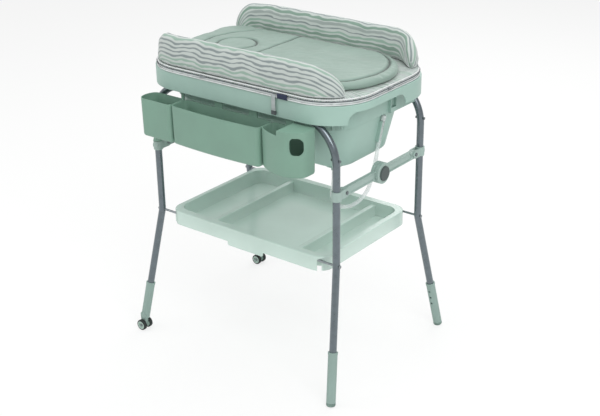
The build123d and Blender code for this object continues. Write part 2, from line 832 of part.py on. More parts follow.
def bin_shell(outline):
    """An open-topped bin with drafted walls and a rounded bottom edge, from its outline."""
    with BuildPart() as cavity:
        with BuildSketch(from_above(bin_top)):
            add(outline)
            offset(amount=-bin_wall)
        extrude(amount=bin_height - bin_wall, taper=bin_taper)
        fillet(cavity.edges().group_by(Axis.Z)[0], radius=bin_foot_round - bin_wall)
    with BuildPart() as shell:
        with BuildSketch(from_above(bin_top)):
            add(outline)
        extrude(amount=bin_height, taper=bin_taper)
        fillet(shell.edges().group_by(Axis.Z)[0], radius=bin_foot_round)
        add(cavity.part, mode=Mode.SUBTRACT)
    return shell.part


with BuildSketch() as long_outline:
    with BuildLine():
        Polyline(
            (long_bin_x0, bin_front - bin_bow),
            (long_bin_x0, bin_back),
            (long_bin_x1, bin_back),
            (long_bin_x1, bin_front - bin_bow),
        )
        ThreePointArc(
            (long_bin_x1, bin_front - bin_bow),
            ((long_bin_x0 + long_bin_x1) / 2, bin_front),
            (long_bin_x0, bin_front - bin_bow),
        )
    make_face()
    fillet(long_outline.vertices(), radius=bin_round)
with BuildPart() as long_bin:
    add(bin_shell(long_outline.sketch))
    for share in long_hook_shares:
        hook_x = long_bin_x0 + share * (long_bin_x1 - long_bin_x0)
        add(bar_hook(hook_x, bin_hook_width))
save(long_bin.part, "storage_long_bin")

with BuildSketch() as cup_outline:
    with BuildLine():
        Polyline(
            (cup_x0, bin_back),
            (cup_x1, bin_back),
            (cup_x1, bin_front - cup_inset),
            (cup_x0, bin_front - cup_inset),
            close=True,
        )
    make_face()
    fillet(cup_outline.vertices().group_by(Axis.X)[0], radius=cup_round)
    fillet(cup_outline.vertices().group_by(Axis.X)[-1], radius=bin_round)
with BuildPart() as cup:
    add(bin_shell(cup_outline.sketch))
    for step in range(3):
        with Locations((cup_x0, -(bin_back + bin_front - cup_inset) / 2, slot_start + step * slot_pitch)):
            Box(2 * cup_round / 3, collar_slot_length, collar_slot, mode=Mode.SUBTRACT)
    # A collar snaps round the leg between its clamp and the arch's bend, with a web to the cup
    collar_bottom = brace_z + clamp_height / 2 + collar_gap
    collar_r = tube_r + running_gap
    web_reach = bin_back + bin_draft + bin_wall / 2 - leg_y
    web_bottom = bin_bottom + bin_foot_round
    with BuildSketch(Plane.XY.offset(collar_bottom)):
        with Locations((-leg_x, -leg_y)):
            Circle(collar_r + collar_wall)
            Circle(collar_r, mode=Mode.SUBTRACT)
            Rectangle(collar_mouth, 2 * tube_od, align=(Align.CENTER, Align.MIN), mode=Mode.SUBTRACT)
    extrude(amount=arch_z - collar_bottom)
    with BuildSketch(Plane.XY.offset(web_bottom)):
        with Locations((-leg_x, -leg_y)):
            Rectangle(collar_web, web_reach, align=(Align.CENTER, Align.MAX))
            Circle(collar_r, mode=Mode.SUBTRACT)
    extrude(amount=arch_z - web_bottom)
    add(bar_hook(cup_x1 - cup_hook_width, cup_hook_width))
save(cup.part, "storage_cup")

with BuildSketch() as end_outline:
    with BuildLine():
        Polyline(
            (end_bin_x0, end_bin_side),
            (end_bin_x0, bin_back),
            (end_bin_x1, bin_back),
            (end_bin_x1, end_bin_side),
        )
        ThreePointArc(
            (end_bin_x1, end_bin_side),
            ((end_bin_x0 + end_bin_x1) / 2, end_bin_front),
            (end_bin_x0, end_bin_side),
        )
    make_face()
    fillet(end_outline.vertices().group_by(Axis.Y)[0], radius=bin_round)
    fillet(end_outline.vertices().group_by(Axis.Y)[-1].sort_by(Axis.X)[-1], radius=end_bin_corner)
with BuildPart() as end_bin:
    add(bin_shell(end_outline.sketch))
    hood_x = end_bin_x0 + hood_share * (end_bin_x1 - end_bin_x0)
    with BuildSketch(from_above(bin_top + end_bin_rise)):
        add(end_outline.sketch)
        with Locations((hood_x, 0)):
            Rectangle(
                end_bin_x1, 2 * end_bin_front, align=(Align.MIN, Align.CENTER), mode=Mode.INTERSECT
            )
    extrude(amount=end_bin_rise)
    with BuildSketch(from_above(bin_top + end_bin_rise - bin_wall)):
        add(end_outline.sketch)
        offset(amount=-bin_wall)
        with Locations((hood_x + bin_wall, 0)):
            Rectangle(
                end_bin_x1, 2 * end_bin_front, align=(Align.MIN, Align.CENTER), mode=Mode.INTERSECT
            )
    extrude(amount=end_bin_rise, mode=Mode.SUBTRACT)
    with BuildSketch(Plane.XZ.offset(end_bin_side - window_round)):
        with Locations((window_x, bin_top - window_drop)):
            RectangleRounded(window_width, window_height, window_round)
    extrude(amount=end_bin_front, mode=Mode.SUBTRACT)
    add(bar_hook(end_hook_x, bin_hook_width))
save(end_bin.part, "storage_end_bin")

# Shelf tray: a double-walled rim over the rods, a shallow basin and two hollow dividers
with BuildPart() as shelf:
    with BuildSketch(Plane.XY.offset(tray_top - tray_lip)):
        RectangleRounded(2 * tray_x, 2 * tray_y, tray_corner)
        RectangleRounded(
            2 * (tray_x - tray_wall),
            2 * (tray_y - tray_wall),
            tray_corner - tray_wall,
            mode=Mode.SUBTRACT,
        )
    extrude(amount=tray_lip)
    with BuildSketch(Plane.XY.offset(tray_top - tray_wall)):
        RectangleRounded(2 * tray_x, 2 * tray_y, tray_corner)
    extrude(amount=tray_wall)
    fillet(shelf.edges().group_by(Axis.Z)[-1], radius=tray_round)
    with BuildSketch(from_above(tray_top - tray_wall)):
        RectangleRounded(
            2 * (basin_x + tray_wall), 2 * (basin_y + tray_wall), basin_corner + tray_wall
        )
    extrude(amount=tray_top - tray_wall - tray_floor_z, taper=tray_taper)
    with BuildSketch(from_above(tray_top)):
        RectangleRounded(2 * basin_x, 2 * basin_y, basin_corner)
    extrude(amount=tray_top - tray_floor_z - tray_wall, taper=tray_taper, mode=Mode.SUBTRACT)
    for middle in (divider_left, divider_right):
        with BuildSketch(Plane.XZ.offset(-basin_y)) as divider:
            with Locations((middle, tray_floor_z)):
                Trapezoid(
                    divider_width + 2 * divider_spread,
                    tray_top - divider_drop - tray_floor_z,
                    divider_angle,
                    align=(Align.CENTER, Align.MIN),
                )
            fillet(divider.vertices().group_by(Axis.Y)[-1], radius=tray_round)
        extrude(amount=2 * basin_y)
        with BuildSketch(Plane.XZ.offset(-basin_y + divider_inset)):
            with Locations((middle, tray_floor_z)):
                Trapezoid(
                    divider_width + 2 * divider_spread - 2 * tray_wall,
                    tray_top - divider_drop - tray_floor_z - tray_wall,
                    divider_angle,
                    align=(Align.CENTER, Align.MIN),
                )
        extrude(amount=2 * (basin_y - divider_inset), mode=Mode.SUBTRACT)
    saddle_bottom = knee_z - rod_r - tray_wall
    for side_y, rod_fit in ((1, hinge_gap), (-1, running_gap)):
        with Locations(
            (tray_saddle_x, side_y * (leg_y - saddle_shift), saddle_bottom),
            (-tray_saddle_x, side_y * (leg_y - saddle_shift), saddle_bottom),
        ):
            Box(tray_saddle_length, tray_saddle_width, tray_top - tray_wall - saddle_bottom, align=upright)
        with Locations((0, side_y * leg_y, knee_z)):
            Cylinder(rod_r + rod_fit, 2 * tray_x, rotation=(0, 90, 0), mode=Mode.SUBTRACT)
    # The rods leave through slots in the end walls, open at the bottom
    slot_z = tray_top - tray_lip
    for side_x in (1, -1):
        for side_y in (1, -1):
            with Locations((side_x * (tray_x - rod_slot_length / 2), side_y * leg_y, knee_z)):
                Cylinder(rod_r + rod_slot_gap, rod_slot_length, rotation=(0, 90, 0), mode=Mode.SUBTRACT)
                Box(
                    rod_slot_length,
                    2 * (rod_r + rod_slot_gap),
                    knee_z - slot_z,
                    align=(Align.CENTER, Align.CENTER, Align.MAX),
                    mode=Mode.SUBTRACT,
                )
        with Locations((side_x * tray_saddle_x, -leg_y, knee_z)):
            Box(
                tray_saddle_length,
                2 * (rod_r + running_gap),
                knee_z - saddle_bottom,
                align=(Align.CENTER, Align.CENTER, Align.MAX),
                mode=Mode.SUBTRACT,
            )
    with BuildSketch(Plane.XZ.offset(tray_y - tray_wall)) as tray_tab:
        with Locations((tray_tab_x, slot_z + tray_tab_round)):
            Rectangle(
                tray_tab_width,
                tray_tab_drop + tray_tab_round,
                align=(Align.CENTER, Align.MAX),
            )
        fillet(tray_tab.vertices().group_by(Axis.Y)[0], radius=tray_tab_round)
    extrude(amount=tray_wall)
save(shelf.part, "shelf_tray")

# Mat: base pad, two leaning bolsters, a liner with sewn seams, a strap with its hook, and a tag
mat_z = rim_z + mat_gap
mat_top = mat_z + mat_thick
with BuildPart() as mat_base:
    with BuildSketch(Plane.XY.offset(mat_z)):
        RectangleRounded(2 * mat_x, 2 * mat_y, mat_corner)
    extrude(amount=mat_thick)
    fillet(mat_base.edges().group_by(Axis.Z)[-1] + mat_base.edges().group_by(Axis.Z)[0], radius=mat_round)
save(mat_base.part, "mat_base")

for name, side_y, middle in (("front", -1, front_bolster_x), ("rear", 1, rear_bolster_x)):
    up = Vector(0, side_y * sin(radians(bolster_lean)), cos(radians(bolster_lean)))
    with BuildPart() as bolster:
        with BuildSketch(
            Plane(
                origin=(middle, side_y * bolster_y, mat_top),
                x_dir=(1, 0, 0),
                z_dir=Vector(1, 0, 0).cross(up),
            )
        ) as side_outline:
            Rectangle(bolster_length, bolster_height, align=(Align.CENTER, Align.MIN))
            fillet(side_outline.vertices().group_by(Axis.Y)[-1], radius=bolster_corner)
            fillet(side_outline.vertices().group_by(Axis.Y)[0], radius=bolster_low_corner)
        extrude(amount=bolster_thick / 2, both=True)
        sides = bolster.faces().sort_by(Axis.Y)
        fillet(sides[0].edges() + sides[-1].edges(), radius=bolster_round)
        split(bisect_by=Plane.XY.offset(mat_top), keep=Keep.TOP)
    save(bolster.part, f"{name}_bolster")

with BuildPart() as liner:
    with BuildSketch(Plane.XY.offset(mat_top)) as liner_outline:
        with BuildLine():
            Polyline(
                (liner_x1 - liner_nose, liner_half_width),
                (liner_x0, liner_half_width),
                (liner_x0, -liner_half_width),
                (liner_x1 - liner_nose, -liner_half_width),
            )
            ThreePointArc(
                (liner_x1 - liner_nose, -liner_half_width),
                (liner_x1, 0),
                (liner_x1 - liner_nose, liner_half_width),
            )
        make_face()
        fillet(liner_outline.vertices().group_by(Axis.X)[0], radius=liner_corner)
    extrude(amount=liner_thick)
    fillet(liner.edges().group_by(Axis.Z)[-1], radius=liner_round)
    # Sewn seams: a ring at the head, a straight seam across, and an arc inside each end
    with BuildSketch(Plane.XY.offset(mat_top + liner_thick - seam_depth)):
        with BuildLine():
            Line((cross_seam_x, -liner_half_width), (cross_seam_x, liner_half_width))
            for tip_x, nose in (
                (liner_x0 + head_seam_inset, head_seam_nose),
                (liner_x1 - seam_inset, -liner_nose - seam_inset),
            ):
                ThreePointArc(
                    (tip_x + nose, -liner_half_width),
                    (tip_x, 0),
                    (tip_x + nose, liner_half_width),
                )
        trace(line_width=seam_width)
        with Locations((head_ring_x, 0)):
            Circle(head_ring_r + seam_width / 2)
            Circle(head_ring_r - seam_width / 2, mode=Mode.SUBTRACT)
    extrude(amount=2 * seam_depth, mode=Mode.SUBTRACT)
save(liner.part, "mat_liner")

with BuildPart() as strap:
    strap_top = mat_z + mat_thick / 2
    with Locations((strap_x, -mat_y - strap_thick / 2, strap_top)):
        Box(strap_width, strap_thick, strap_drop, align=(Align.CENTER, Align.CENTER, Align.MAX))
save(strap.part, "mat_strap")

with BuildPart() as strap_hook:
    hook_top = strap_top - strap_drop
    with Locations((strap_x, -mat_y - strap_thick / 2, hook_top)):
        Box(hook_width, hook_thick, hook_height, align=(Align.CENTER, Align.CENTER, Align.MAX))
    fillet(strap_hook.edges().filter_by(Axis.Y), radius=hook_thick / 2)
save(strap_hook.part, "strap_hook")

with BuildPart() as tag:
    with Locations((tag_x, -mat_y - tag_thick / 2, mat_z + mat_thick / 2)):
        Box(tag_width, tag_thick, tag_height)
save(tag.part, "mat_tag")
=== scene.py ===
"""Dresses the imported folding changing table: cloth, plastic, steel, the drain hose and a stage."""

import math

import bmesh
import bpy
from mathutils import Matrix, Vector, noise


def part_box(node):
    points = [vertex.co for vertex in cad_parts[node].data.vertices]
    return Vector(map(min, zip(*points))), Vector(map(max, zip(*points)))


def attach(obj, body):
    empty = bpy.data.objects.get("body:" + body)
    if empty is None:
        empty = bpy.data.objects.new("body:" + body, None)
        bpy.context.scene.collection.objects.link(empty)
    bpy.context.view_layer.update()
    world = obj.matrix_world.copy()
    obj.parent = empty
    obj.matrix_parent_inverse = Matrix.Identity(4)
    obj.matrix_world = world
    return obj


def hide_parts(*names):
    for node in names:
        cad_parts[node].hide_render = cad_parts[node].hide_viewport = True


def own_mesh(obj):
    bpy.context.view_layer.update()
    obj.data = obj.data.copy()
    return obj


bl_info = {
    "name": "Folding changing table",
    "version": (1, 0, 0),
    "blender": (4, 5, 0),
    "location": "View3D > Sidebar > Changing table",
    "description": "Cloth, plastic and steel finishes for a folding changing table with a bathtub",
    "category": "Object",
}

MM = 0.001
# Vertices closer than this are one vertex
MERGE = 0.01 * MM
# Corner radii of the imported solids, before their copies are rounded off
TUB_CORNER = 80 * MM
MAT_CORNER = 92 * MM

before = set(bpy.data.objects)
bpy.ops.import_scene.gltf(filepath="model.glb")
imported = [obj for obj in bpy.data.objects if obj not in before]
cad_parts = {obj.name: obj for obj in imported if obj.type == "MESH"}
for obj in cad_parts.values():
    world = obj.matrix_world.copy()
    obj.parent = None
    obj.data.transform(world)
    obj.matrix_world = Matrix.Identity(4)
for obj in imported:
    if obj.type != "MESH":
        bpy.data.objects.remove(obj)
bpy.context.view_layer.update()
base_low, base_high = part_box("mat_base")


def measure(name, description, default, low, high):
    """A length setting, given in millimetres."""
    return bpy.props.FloatProperty(
        name=name, description=description, default=default * MM, min=low * MM, max=high * MM,
        unit="LENGTH")


def angle(name, description, default):
    """An angle setting, given in degrees."""
    return bpy.props.FloatProperty(
        name=name, description=description, default=math.radians(default), subtype="ANGLE")


class MatSettings(bpy.types.PropertyGroup):
    """Sizes of the padded mat's cloth work."""

    voxel: measure("Cloth grid", "Voxel size of the padded shells", 5.0, 3.0, 9.0)
    pressure: bpy.props.FloatProperty(
        name="Filling pressure", description="How hard the filling pushes the liner's cover out",
        default=4.0, min=0.0, max=10.0)
    piping: measure("Piping", "Radius of the corded piping", 1.9, 1.0, 4.0)
    seam_depth: measure("Seam depth", "How far a sewn channel pulls the liner down", 6.0, 0.0, 9.0)
    seam_width: measure("Seam width", "Half the width of a sewn channel", 5.4, 1.0, 9.0)
    stripe_pitch: measure(
        "Stripe pitch", "Distance from one printed stripe to the next", 13.0, 5.0, 30.0)
    corner: measure("Corner", "Radius of the outline's corners", 146.0, 92.0, 200.0)
    bolster_thick: measure("Bolster", "Thickness of the side bolsters", 45.0, 20.0, 70.0)
    tuck: measure(
        "Tuck", "How far the base stays inside its cut outline at both ends", 10.0, 0.0, 20.0)
    front_head_curl: angle(
        "Front head curl", "How far the front bolster turns round the head corner", 44)
    rear_head_curl: angle(
        "Rear head curl", "How far the rear bolster turns round the head corner", 56)
    front_curl: angle("Front curl", "How far the front bolster turns round the foot corner", 55)
    rear_curl: angle("Rear curl", "How far the rear bolster turns round the foot corner", 62)
    tag_width: measure("Tag width", "Width of the bare tag", 34.0, 10.0, 50.0)
    tag_height: measure("Tag height", "Height of the bare tag", 15.0, 8.0, 30.0)


class HoseSettings(bpy.types.PropertyGroup):
    """Sizes of the drain hose."""

    diameter: measure("Outer diameter", "Outer diameter of the drain hose", 12.0, 6.0, 20.0)
    sides: bpy.props.IntProperty(
        name="Sides", description="Sides of the hose's section", default=20, min=8, max=48)


class ColourSettings(bpy.types.PropertyGroup):
    """Colours that a user would change."""

    tub: bpy.props.StringProperty(name="Tub", description="Tub plastic, hex", default="#9EBCB1")
    bins: bpy.props.StringProperty(name="Bins", description="Bin plastic, hex", default="#7B9E8D")
    tray: bpy.props.StringProperty(name="Tray", description="Tray plastic, hex", default="#D2E8DF")
    tubes: bpy.props.StringProperty(
        name="Tubes", description="Tube lacquer, hex", default="#6F797F")
    liner: bpy.props.StringProperty(name="Liner", description="Liner cloth, hex", default="#8AA096")


class StageSettings(bpy.types.PropertyGroup):
    """The camera and the studio."""

    camera_place: bpy.props.FloatVectorProperty(
        name="Camera", description="Where the camera stands", size=3,
        default=(2.0405, -2.5563, 1.8941), subtype="TRANSLATION", unit="LENGTH")
    yaw: angle("Yaw", "Turn of the camera about the upright axis", 37.970)
    pitch: angle("Pitch", "How far the camera looks down", 24.167)
    roll: angle("Roll", "Turn of the camera about its own line of sight", -0.782)
    lens: bpy.props.FloatProperty(
        name="Lens", description="Focal length in millimetres", default=68.09, min=20, max=200)
    floor_half: bpy.props.FloatProperty(
        name="Floor", description="Half the width of the floor", default=14.0, unit="LENGTH")


# Helpers


def linear(text):
    """A linear colour with alpha from an sRGB hex value."""
    parts = [int(text[i : i + 2], 16) / 255 for i in (1, 3, 5)]
    return [*(p / 12.92 if p <= 0.04045 else ((p + 0.055) / 1.055) ** 2.4 for p in parts), 1.0]


def add_node(tree, kind, inputs=(), **settings):
    """Adds a node; inputs pairs a socket with a value or with the output that feeds it."""
    node = tree.nodes.new(kind)
    for name, value in settings.items():
        setattr(node, name, value)
    for socket, value in dict(inputs).items():
        if isinstance(value, bpy.types.NodeSocket):
            tree.links.new(value, node.inputs[socket])
        else:
            node.inputs[socket].default_value = value
    return node


def ramp(tree, factor, stops, interpolation="LINEAR"):
    """A colour ramp over a factor, from (place, hex) stops."""
    node = add_node(tree, "ShaderNodeValToRGB", {"Fac": factor})
    node.color_ramp.interpolation = interpolation
    elements = node.color_ramp.elements
    while len(elements) < len(stops):
        elements.new(1.0)
    for element, (place, colour) in zip(elements, stops):
        element.position = place
        element.color = linear(colour)
    return node.outputs["Color"]


def cloud(tree, place, scale, detail=2.0):
    """The grey value of a noise pattern."""
    inputs = {"Vector": place, "Scale": scale, "Detail": detail}
    return add_node(tree, "ShaderNodeTexNoise", inputs).outputs["Fac"]


def calc(tree, operation, *values):
    """The result of a maths node."""
    return add_node(
        tree, "ShaderNodeMath", enumerate(values), operation=operation).outputs["Value"]


def remap(tree, value, before, after, **settings):
    """A value carried from one (low, high) range to another."""
    return add_node(
        tree, "ShaderNodeMapRange",
        {"Value": value, "From Min": before[0], "From Max": before[1], "To Min": after[0],
         "To Max": after[1]}, **settings).outputs["Result"]


def new_material(name, colour, roughness, **settings):
    """A material with its Principled shader's own values set; returns what its patterns need."""
    material = bpy.data.materials.new(name)
    material.use_nodes = True
    tree = material.node_tree
    shader = tree.nodes["Principled BSDF"]
    shader.inputs["Base Color"].default_value = linear(colour)
    shader.inputs["Roughness"].default_value = roughness
    for socket, value in settings.items():
        shader.inputs[socket.replace("_", " ").title().replace("Ior", "IOR")].default_value = value
    place = add_node(tree, "ShaderNodeTexCoord").outputs["Object"]
    return material, tree, shader, place


def bump(tree, shader, height, strength, distance, below=None):
    """Feeds a height into the shader's normal, on top of an earlier bump."""
    inputs = {"Height": height, "Strength": strength, "Distance": distance}
    if below is not None:
        inputs["Normal"] = below
    node = add_node(tree, "ShaderNodeBump", inputs)
    tree.links.new(node.outputs["Normal"], shader.inputs["Normal"])
    return node.outputs["Normal"]


def mottle(tree, shader, place, colour, dark, scale, low, high):
    """A soft wandering change of colour and roughness across a surface."""
    blotch = cloud(tree, place, scale, 4.0)
    shade = ramp(tree, blotch, [(0.35, dark), (0.65, colour)])
    tree.links.new(shade, shader.inputs["Base Color"])
    rough = remap(tree, blotch, (0.3, 0.7), (low, high))
    tree.links.new(rough, shader.inputs["Roughness"])


def darker(text, share):
    """A hex colour scaled towards black."""
    return "#" + "".join(f"{round(int(text[i : i + 2], 16) * share):02X}" for i in (1, 3, 5))


def only(obj):
    """Makes obj the only selected and the active object."""
    bpy.ops.object.select_all(action="DESELECT")
    obj.select_set(True)
    bpy.context.view_layer.objects.active = obj


def settle(obj):
    """Bakes an object's place and turn into its mesh."""
    only(obj)
    bpy.ops.object.transform_apply(location=True, rotation=True, scale=True)


def modify(obj, kind, **settings):
    """Adds a modifier and applies it."""
    only(obj)
    modifier = obj.modifiers.new(kind.title(), kind)
    for name, value in settings.items():
        setattr(modifier, name, value)
    bpy.ops.object.modifier_apply(modifier=modifier.name)


def smooth(obj, degrees=40):
    """Smooth shading with sharp creases."""
    only(obj)
    bpy.ops.object.shade_smooth_by_angle(angle=math.radians(degrees))


def add_piece(name, data):
    """A new object in the scene."""
    piece = bpy.data.objects.new(name, data)
    bpy.context.scene.collection.objects.link(piece)
    return piece


def copy_of(node, name):
    """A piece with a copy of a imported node's mesh."""
    return add_piece(name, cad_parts[node].data.copy())


def edit_whole(obj, *steps):
    """Runs mesh operators, each with its settings, on the whole of an object."""
    only(obj)
    bpy.ops.object.mode_set(mode="EDIT")
    bpy.ops.mesh.select_all(action="SELECT")
    for operator, settings in steps:
        operator(**settings)
    bpy.ops.object.mode_set(mode="OBJECT")


def block(name, low, high):
    """A box from corner to corner."""
    bpy.ops.mesh.primitive_cube_add(size=1, location=(low + high) / 2)
    piece = bpy.context.active_object
    piece.name = name
    piece.scale = high - low
    settle(piece)
    return piece


def ring_tube(name, vertices, sides):
    """A closed tube over rings of vertices."""
    faces = []
    last = len(vertices) - sides
    for start in range(0, last, sides):
        for side in range(sides):
            after = (side + 1) % sides
            faces.append((start + side, start + after, start + sides + after, start + sides + side))
    faces.append(tuple(range(sides - 1, -1, -1)))
    faces.append(tuple(range(last, last + sides)))
    mesh = bpy.data.meshes.new(name)
    mesh.from_pydata(vertices, [], faces)
    mesh.update()
    return add_piece(name, mesh)


def new_curve(name, kind, points):
    """A curve with one spline of the given kind over points."""
    curve = bpy.data.curves.new(name, "CURVE")
    curve.dimensions = "3D"
    spline = curve.splines.new(kind)
    spline.points.add(len(points) - 1)
    for target, point in zip(spline.points, points):
        target.co = (*point, 1.0)
    return curve, spline


def paint(obj, *materials):
    """Gives a piece its materials."""
    obj.data.materials.clear()
    for material in materials:
        obj.data.materials.append(material)


def finish_piece(obj, body, slot, *nodes):
    """Places a finished piece on its body and hides the imported nodes that it stands for; slot is
    not used.
    """
    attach(obj, body)
    if nodes:
        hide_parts(*nodes)


# Materials


def lacquered_tube(colour):
    """Silver-grey lacquered steel tube: a drawn tube under a thin metallic coat."""
    # The flakes give a broad soft streak with a brighter core along the tube
    material, tree, shader, place = new_material(
        "lacquered_steel_tube", colour, 0.26, metallic=0.86, coat_weight=0.5, coat_roughness=0.1)
    mottle(tree, shader, place, colour, darker(colour, 0.93), 60.0, 0.26, 0.34)
    bump(tree, shader, cloud(tree, place, 1400.0, 1.0), 0.12, 0.0002)
    return material


def zinc_steel(name, colour, roughness):
    """Zinc-plated steel: cold-headed pins and drawn rod with a brushed, slightly cloudy plate."""
    material, tree, shader, place = new_material(name, colour, roughness, metallic=1.0)
    mottle(
        tree, shader, place, colour, darker(colour, 0.86), 90.0, roughness - 0.05, roughness + 0.09)
    drawn = add_node(tree, "ShaderNodeMapping", {"Vector": place, "Scale": (8.0, 900.0, 900.0)})
    bump(tree, shader, cloud(tree, drawn.outputs["Vector"], 1.0), 0.15, 0.0002)
    return material


def moulded_plastic(name, colour, low, high):
    """Injection-moulded polypropylene: satin from a spark-eroded mould."""
    material, tree, shader, place = new_material(
        name, colour, (low + high) / 2, ior=1.49, specular_ior_level=0.45)
    mottle(tree, shader, place, colour, darker(colour, 0.965), 9.0, low, high)
    # The grain is drawn about twice as coarse as the mould's, so that it shows
    grain_pitch = 0.9 * MM
    first = bump(tree, shader, cloud(tree, place, 1.0 / grain_pitch), 0.12, 0.0003)
    bump(tree, shader, cloud(tree, place, 14.0, 1.0), 0.10, 0.004, first)
    return material


def clear_tray_plastic(colour):
    """Unfilled polypropylene, tinted mint: the thin floor lets the light through."""
    material, tree, shader, place = new_material(
        "translucent_polypropylene", colour, 0.16, ior=1.49, alpha=0.8, coat_weight=0.5,
        coat_roughness=0.08)
    mottle(tree, shader, place, colour, darker(colour, 0.97), 6.0, 0.14, 0.24)
    bump(tree, shader, cloud(tree, place, 10.0, 1.0), 0.12, 0.004)
    return material


def rubber(name, colour):
    """Moulded thermoplastic rubber: dull, with a fine pebbled skin."""
    material, tree, shader, place = new_material(name, colour, 0.75, specular_ior_level=0.3)
    mottle(tree, shader, place, colour, darker(colour, 0.85), 80.0, 0.68, 0.86)
    pebble = add_node(tree, "ShaderNodeTexVoronoi", {"Vector": place, "Scale": 900.0})
    bump(tree, shader, pebble.outputs["Distance"], 0.2, 0.0003)
    return material


def clear_hose():
    """Extruded soft PVC hose: clear, with a faint cool tint and a wet gloss."""
    material, tree, shader, place = new_material(
        "clear_pvc_hose", "#EEF4F3", 0.08, ior=1.45, alpha=0.42, coat_weight=0.6,
        coat_roughness=0.05)
    haze = cloud(tree, place, 120.0)
    tint = ramp(tree, haze, [(0.3, "#DDE7E6"), (0.7, "#F4F8F8")])
    tree.links.new(tint, shader.inputs["Base Color"])
    bump(tree, shader, haze, 0.1, 0.0004)
    return material


def printed_stripes(pitch):
    """Printed cotton: brushed wavy stripes in grey and green on off-white."""
    # The print wanders by up to two pitches, and each stripe swells and thins along its length
    material, tree, shader, _ = new_material(
        "printed_striped_cotton", "#DDE2DE", 0.85, sheen_weight=0.35, sheen_roughness=0.5)
    cloth = add_node(tree, "ShaderNodeAttribute", attribute_name="cloth").outputs["Vector"]
    height = add_node(tree, "ShaderNodeSeparateXYZ", {"Vector": cloth}).outputs["Y"]
    for stretch, reach in (((13.0, 9.0, 1.0), 1.9 * pitch), ((26.0, 55.0, 1.0), 0.5 * pitch)):
        stretched = add_node(
            tree, "ShaderNodeVectorMath", {0: cloth, 1: stretch}, operation="MULTIPLY")
        wave = cloud(tree, stretched.outputs["Vector"], 1.0, 1.0)
        height = calc(tree, "MULTIPLY_ADD", wave, reach, height)
    turns = calc(tree, "DIVIDE", height, pitch)
    index = calc(tree, "FLOOR", turns)
    middle = calc(tree, "SUBTRACT", calc(tree, "FRACT", turns), 0.5)
    off = calc(tree, "ABSOLUTE", middle)
    pick = add_node(
        tree, "ShaderNodeTexWhiteNoise", {"W": index}, noise_dimensions="1D").outputs["Value"]
    # The loop's last wave is the short one
    swelling = remap(tree, wave, (0.3, 0.7), (-0.09, 0.09))
    width = calc(tree, "MULTIPLY_ADD", pick, 0.16, swelling)
    edge = (calc(tree, "ADD", width, 0.10), calc(tree, "ADD", width, 0.26))
    mask = remap(tree, off, edge, (1.0, 0.0), interpolation_type="SMOOTHSTEP")
    ink = ramp(
        tree, pick,
        [(0.0, "#808B8B"), (0.34, "#8FA89B"), (0.62, "#99A3A0"), (0.82, "#7B9487")], "CONSTANT")
    print_mix = add_node(
        tree, "ShaderNodeMix", {"Factor": mask, 6: linear("#BBC3BF"), 7: ink}, data_type="RGBA")
    tree.links.new(print_mix.outputs[2], shader.inputs["Base Color"])
    weave(tree, shader, cloth, 1.3)
    return material


def weave(tree, shader, cloth, pitch_mm, strength=0.18):
    """The bump of a plain weave, drawn about three times as coarse as the threads."""
    scaled = add_node(
        tree, "ShaderNodeVectorMath", {0: cloth, "Scale": 2 * math.pi / (pitch_mm * MM)},
        operation="SCALE")
    parts = add_node(tree, "ShaderNodeSeparateXYZ", {"Vector": scaled.outputs["Vector"]})
    threads = [calc(tree, "SINE", parts.outputs[axis]) for axis in ("X", "Y")]
    bump(tree, shader, calc(tree, "MULTIPLY", *threads), strength, 0.0003)


def plain_cloth(name, colour, pitch_mm, sheen=0.3, strength=0.18):
    """Plain woven cloth in one colour with faint slubs."""
    material, tree, shader, place = new_material(
        name, colour, 0.88, sheen_weight=sheen, sheen_roughness=0.45)
    slub = cloud(tree, place, 45.0, 5.0)
    shade = ramp(tree, slub, [(0.35, darker(colour, 0.93)), (0.65, colour)])
    tree.links.new(shade, shader.inputs["Base Color"])
    weave(tree, shader, place, pitch_mm, strength)
    return material


def coated_liner(colour):
    """Polyurethane-coated knit: a soft wipe-clean cover with a dull leathery gloss, and painted
    shade in its sewn channels.
    """
    material, tree, shader, place = new_material(
        "coated_knit_liner", colour, 0.55, sheen_weight=0.25, sheen_roughness=0.4,
        specular_ior_level=0.4)
    shade = cloud(tree, place, 11.0, 3.0)
    cloth = ramp(tree, shade, [(0.3, darker(colour, 0.95)), (0.7, colour)])
    # Painted shade: the cover is painted darker, down to 0.4 of its colour, in the grooves of its
    # sewn channels
    sewn = add_node(tree, "ShaderNodeAttribute", attribute_name="sewn").outputs["Fac"]
    mix = add_node(
        tree, "ShaderNodeMix", {"Factor": sewn, 6: cloth, 7: linear(darker(colour, 0.4))},
        data_type="RGBA")
    tree.links.new(mix.outputs[2], shader.inputs["Base Color"])
    first = bump(tree, shader, cloud(tree, place, 34.0, 3.0), 0.25, 0.003)
    grain = add_node(tree, "ShaderNodeTexVoronoi", {"Vector": place, "Scale": 620.0})
    bump(tree, shader, grain.outputs["Distance"], 0.10, 0.0003, first)
    return material


def studio_floor():
    """A pale studio floor that stays white to the camera and keeps part of the shadow."""
    material, tree, shader, place = new_material("studio_floor", "#F4F5F4", 0.95)
    output = tree.nodes["Material Output"]
    path = add_node(tree, "ShaderNodeLightPath").outputs
    seen = calc(tree, "MAXIMUM", path["Is Camera Ray"], path["Is Glossy Ray"])
    seen = calc(tree, "MAXIMUM", seen, path["Is Transmission Ray"])
    share = calc(tree, "MULTIPLY", seen, 0.72)
    glow = add_node(tree, "ShaderNodeEmission", {"Color": (1.0, 1.0, 1.0, 1.0), "Strength": 1.0})
    mix = add_node(
        tree, "ShaderNodeMixShader",
        {"Fac": share, 1: shader.outputs["BSDF"], 2: glow.outputs["Emission"]})
    tree.links.new(mix.outputs["Shader"], output.inputs["Surface"])
    bump(tree, shader, cloud(tree, place, 3.0), 0.02, 0.001)
    return material


# Shapes


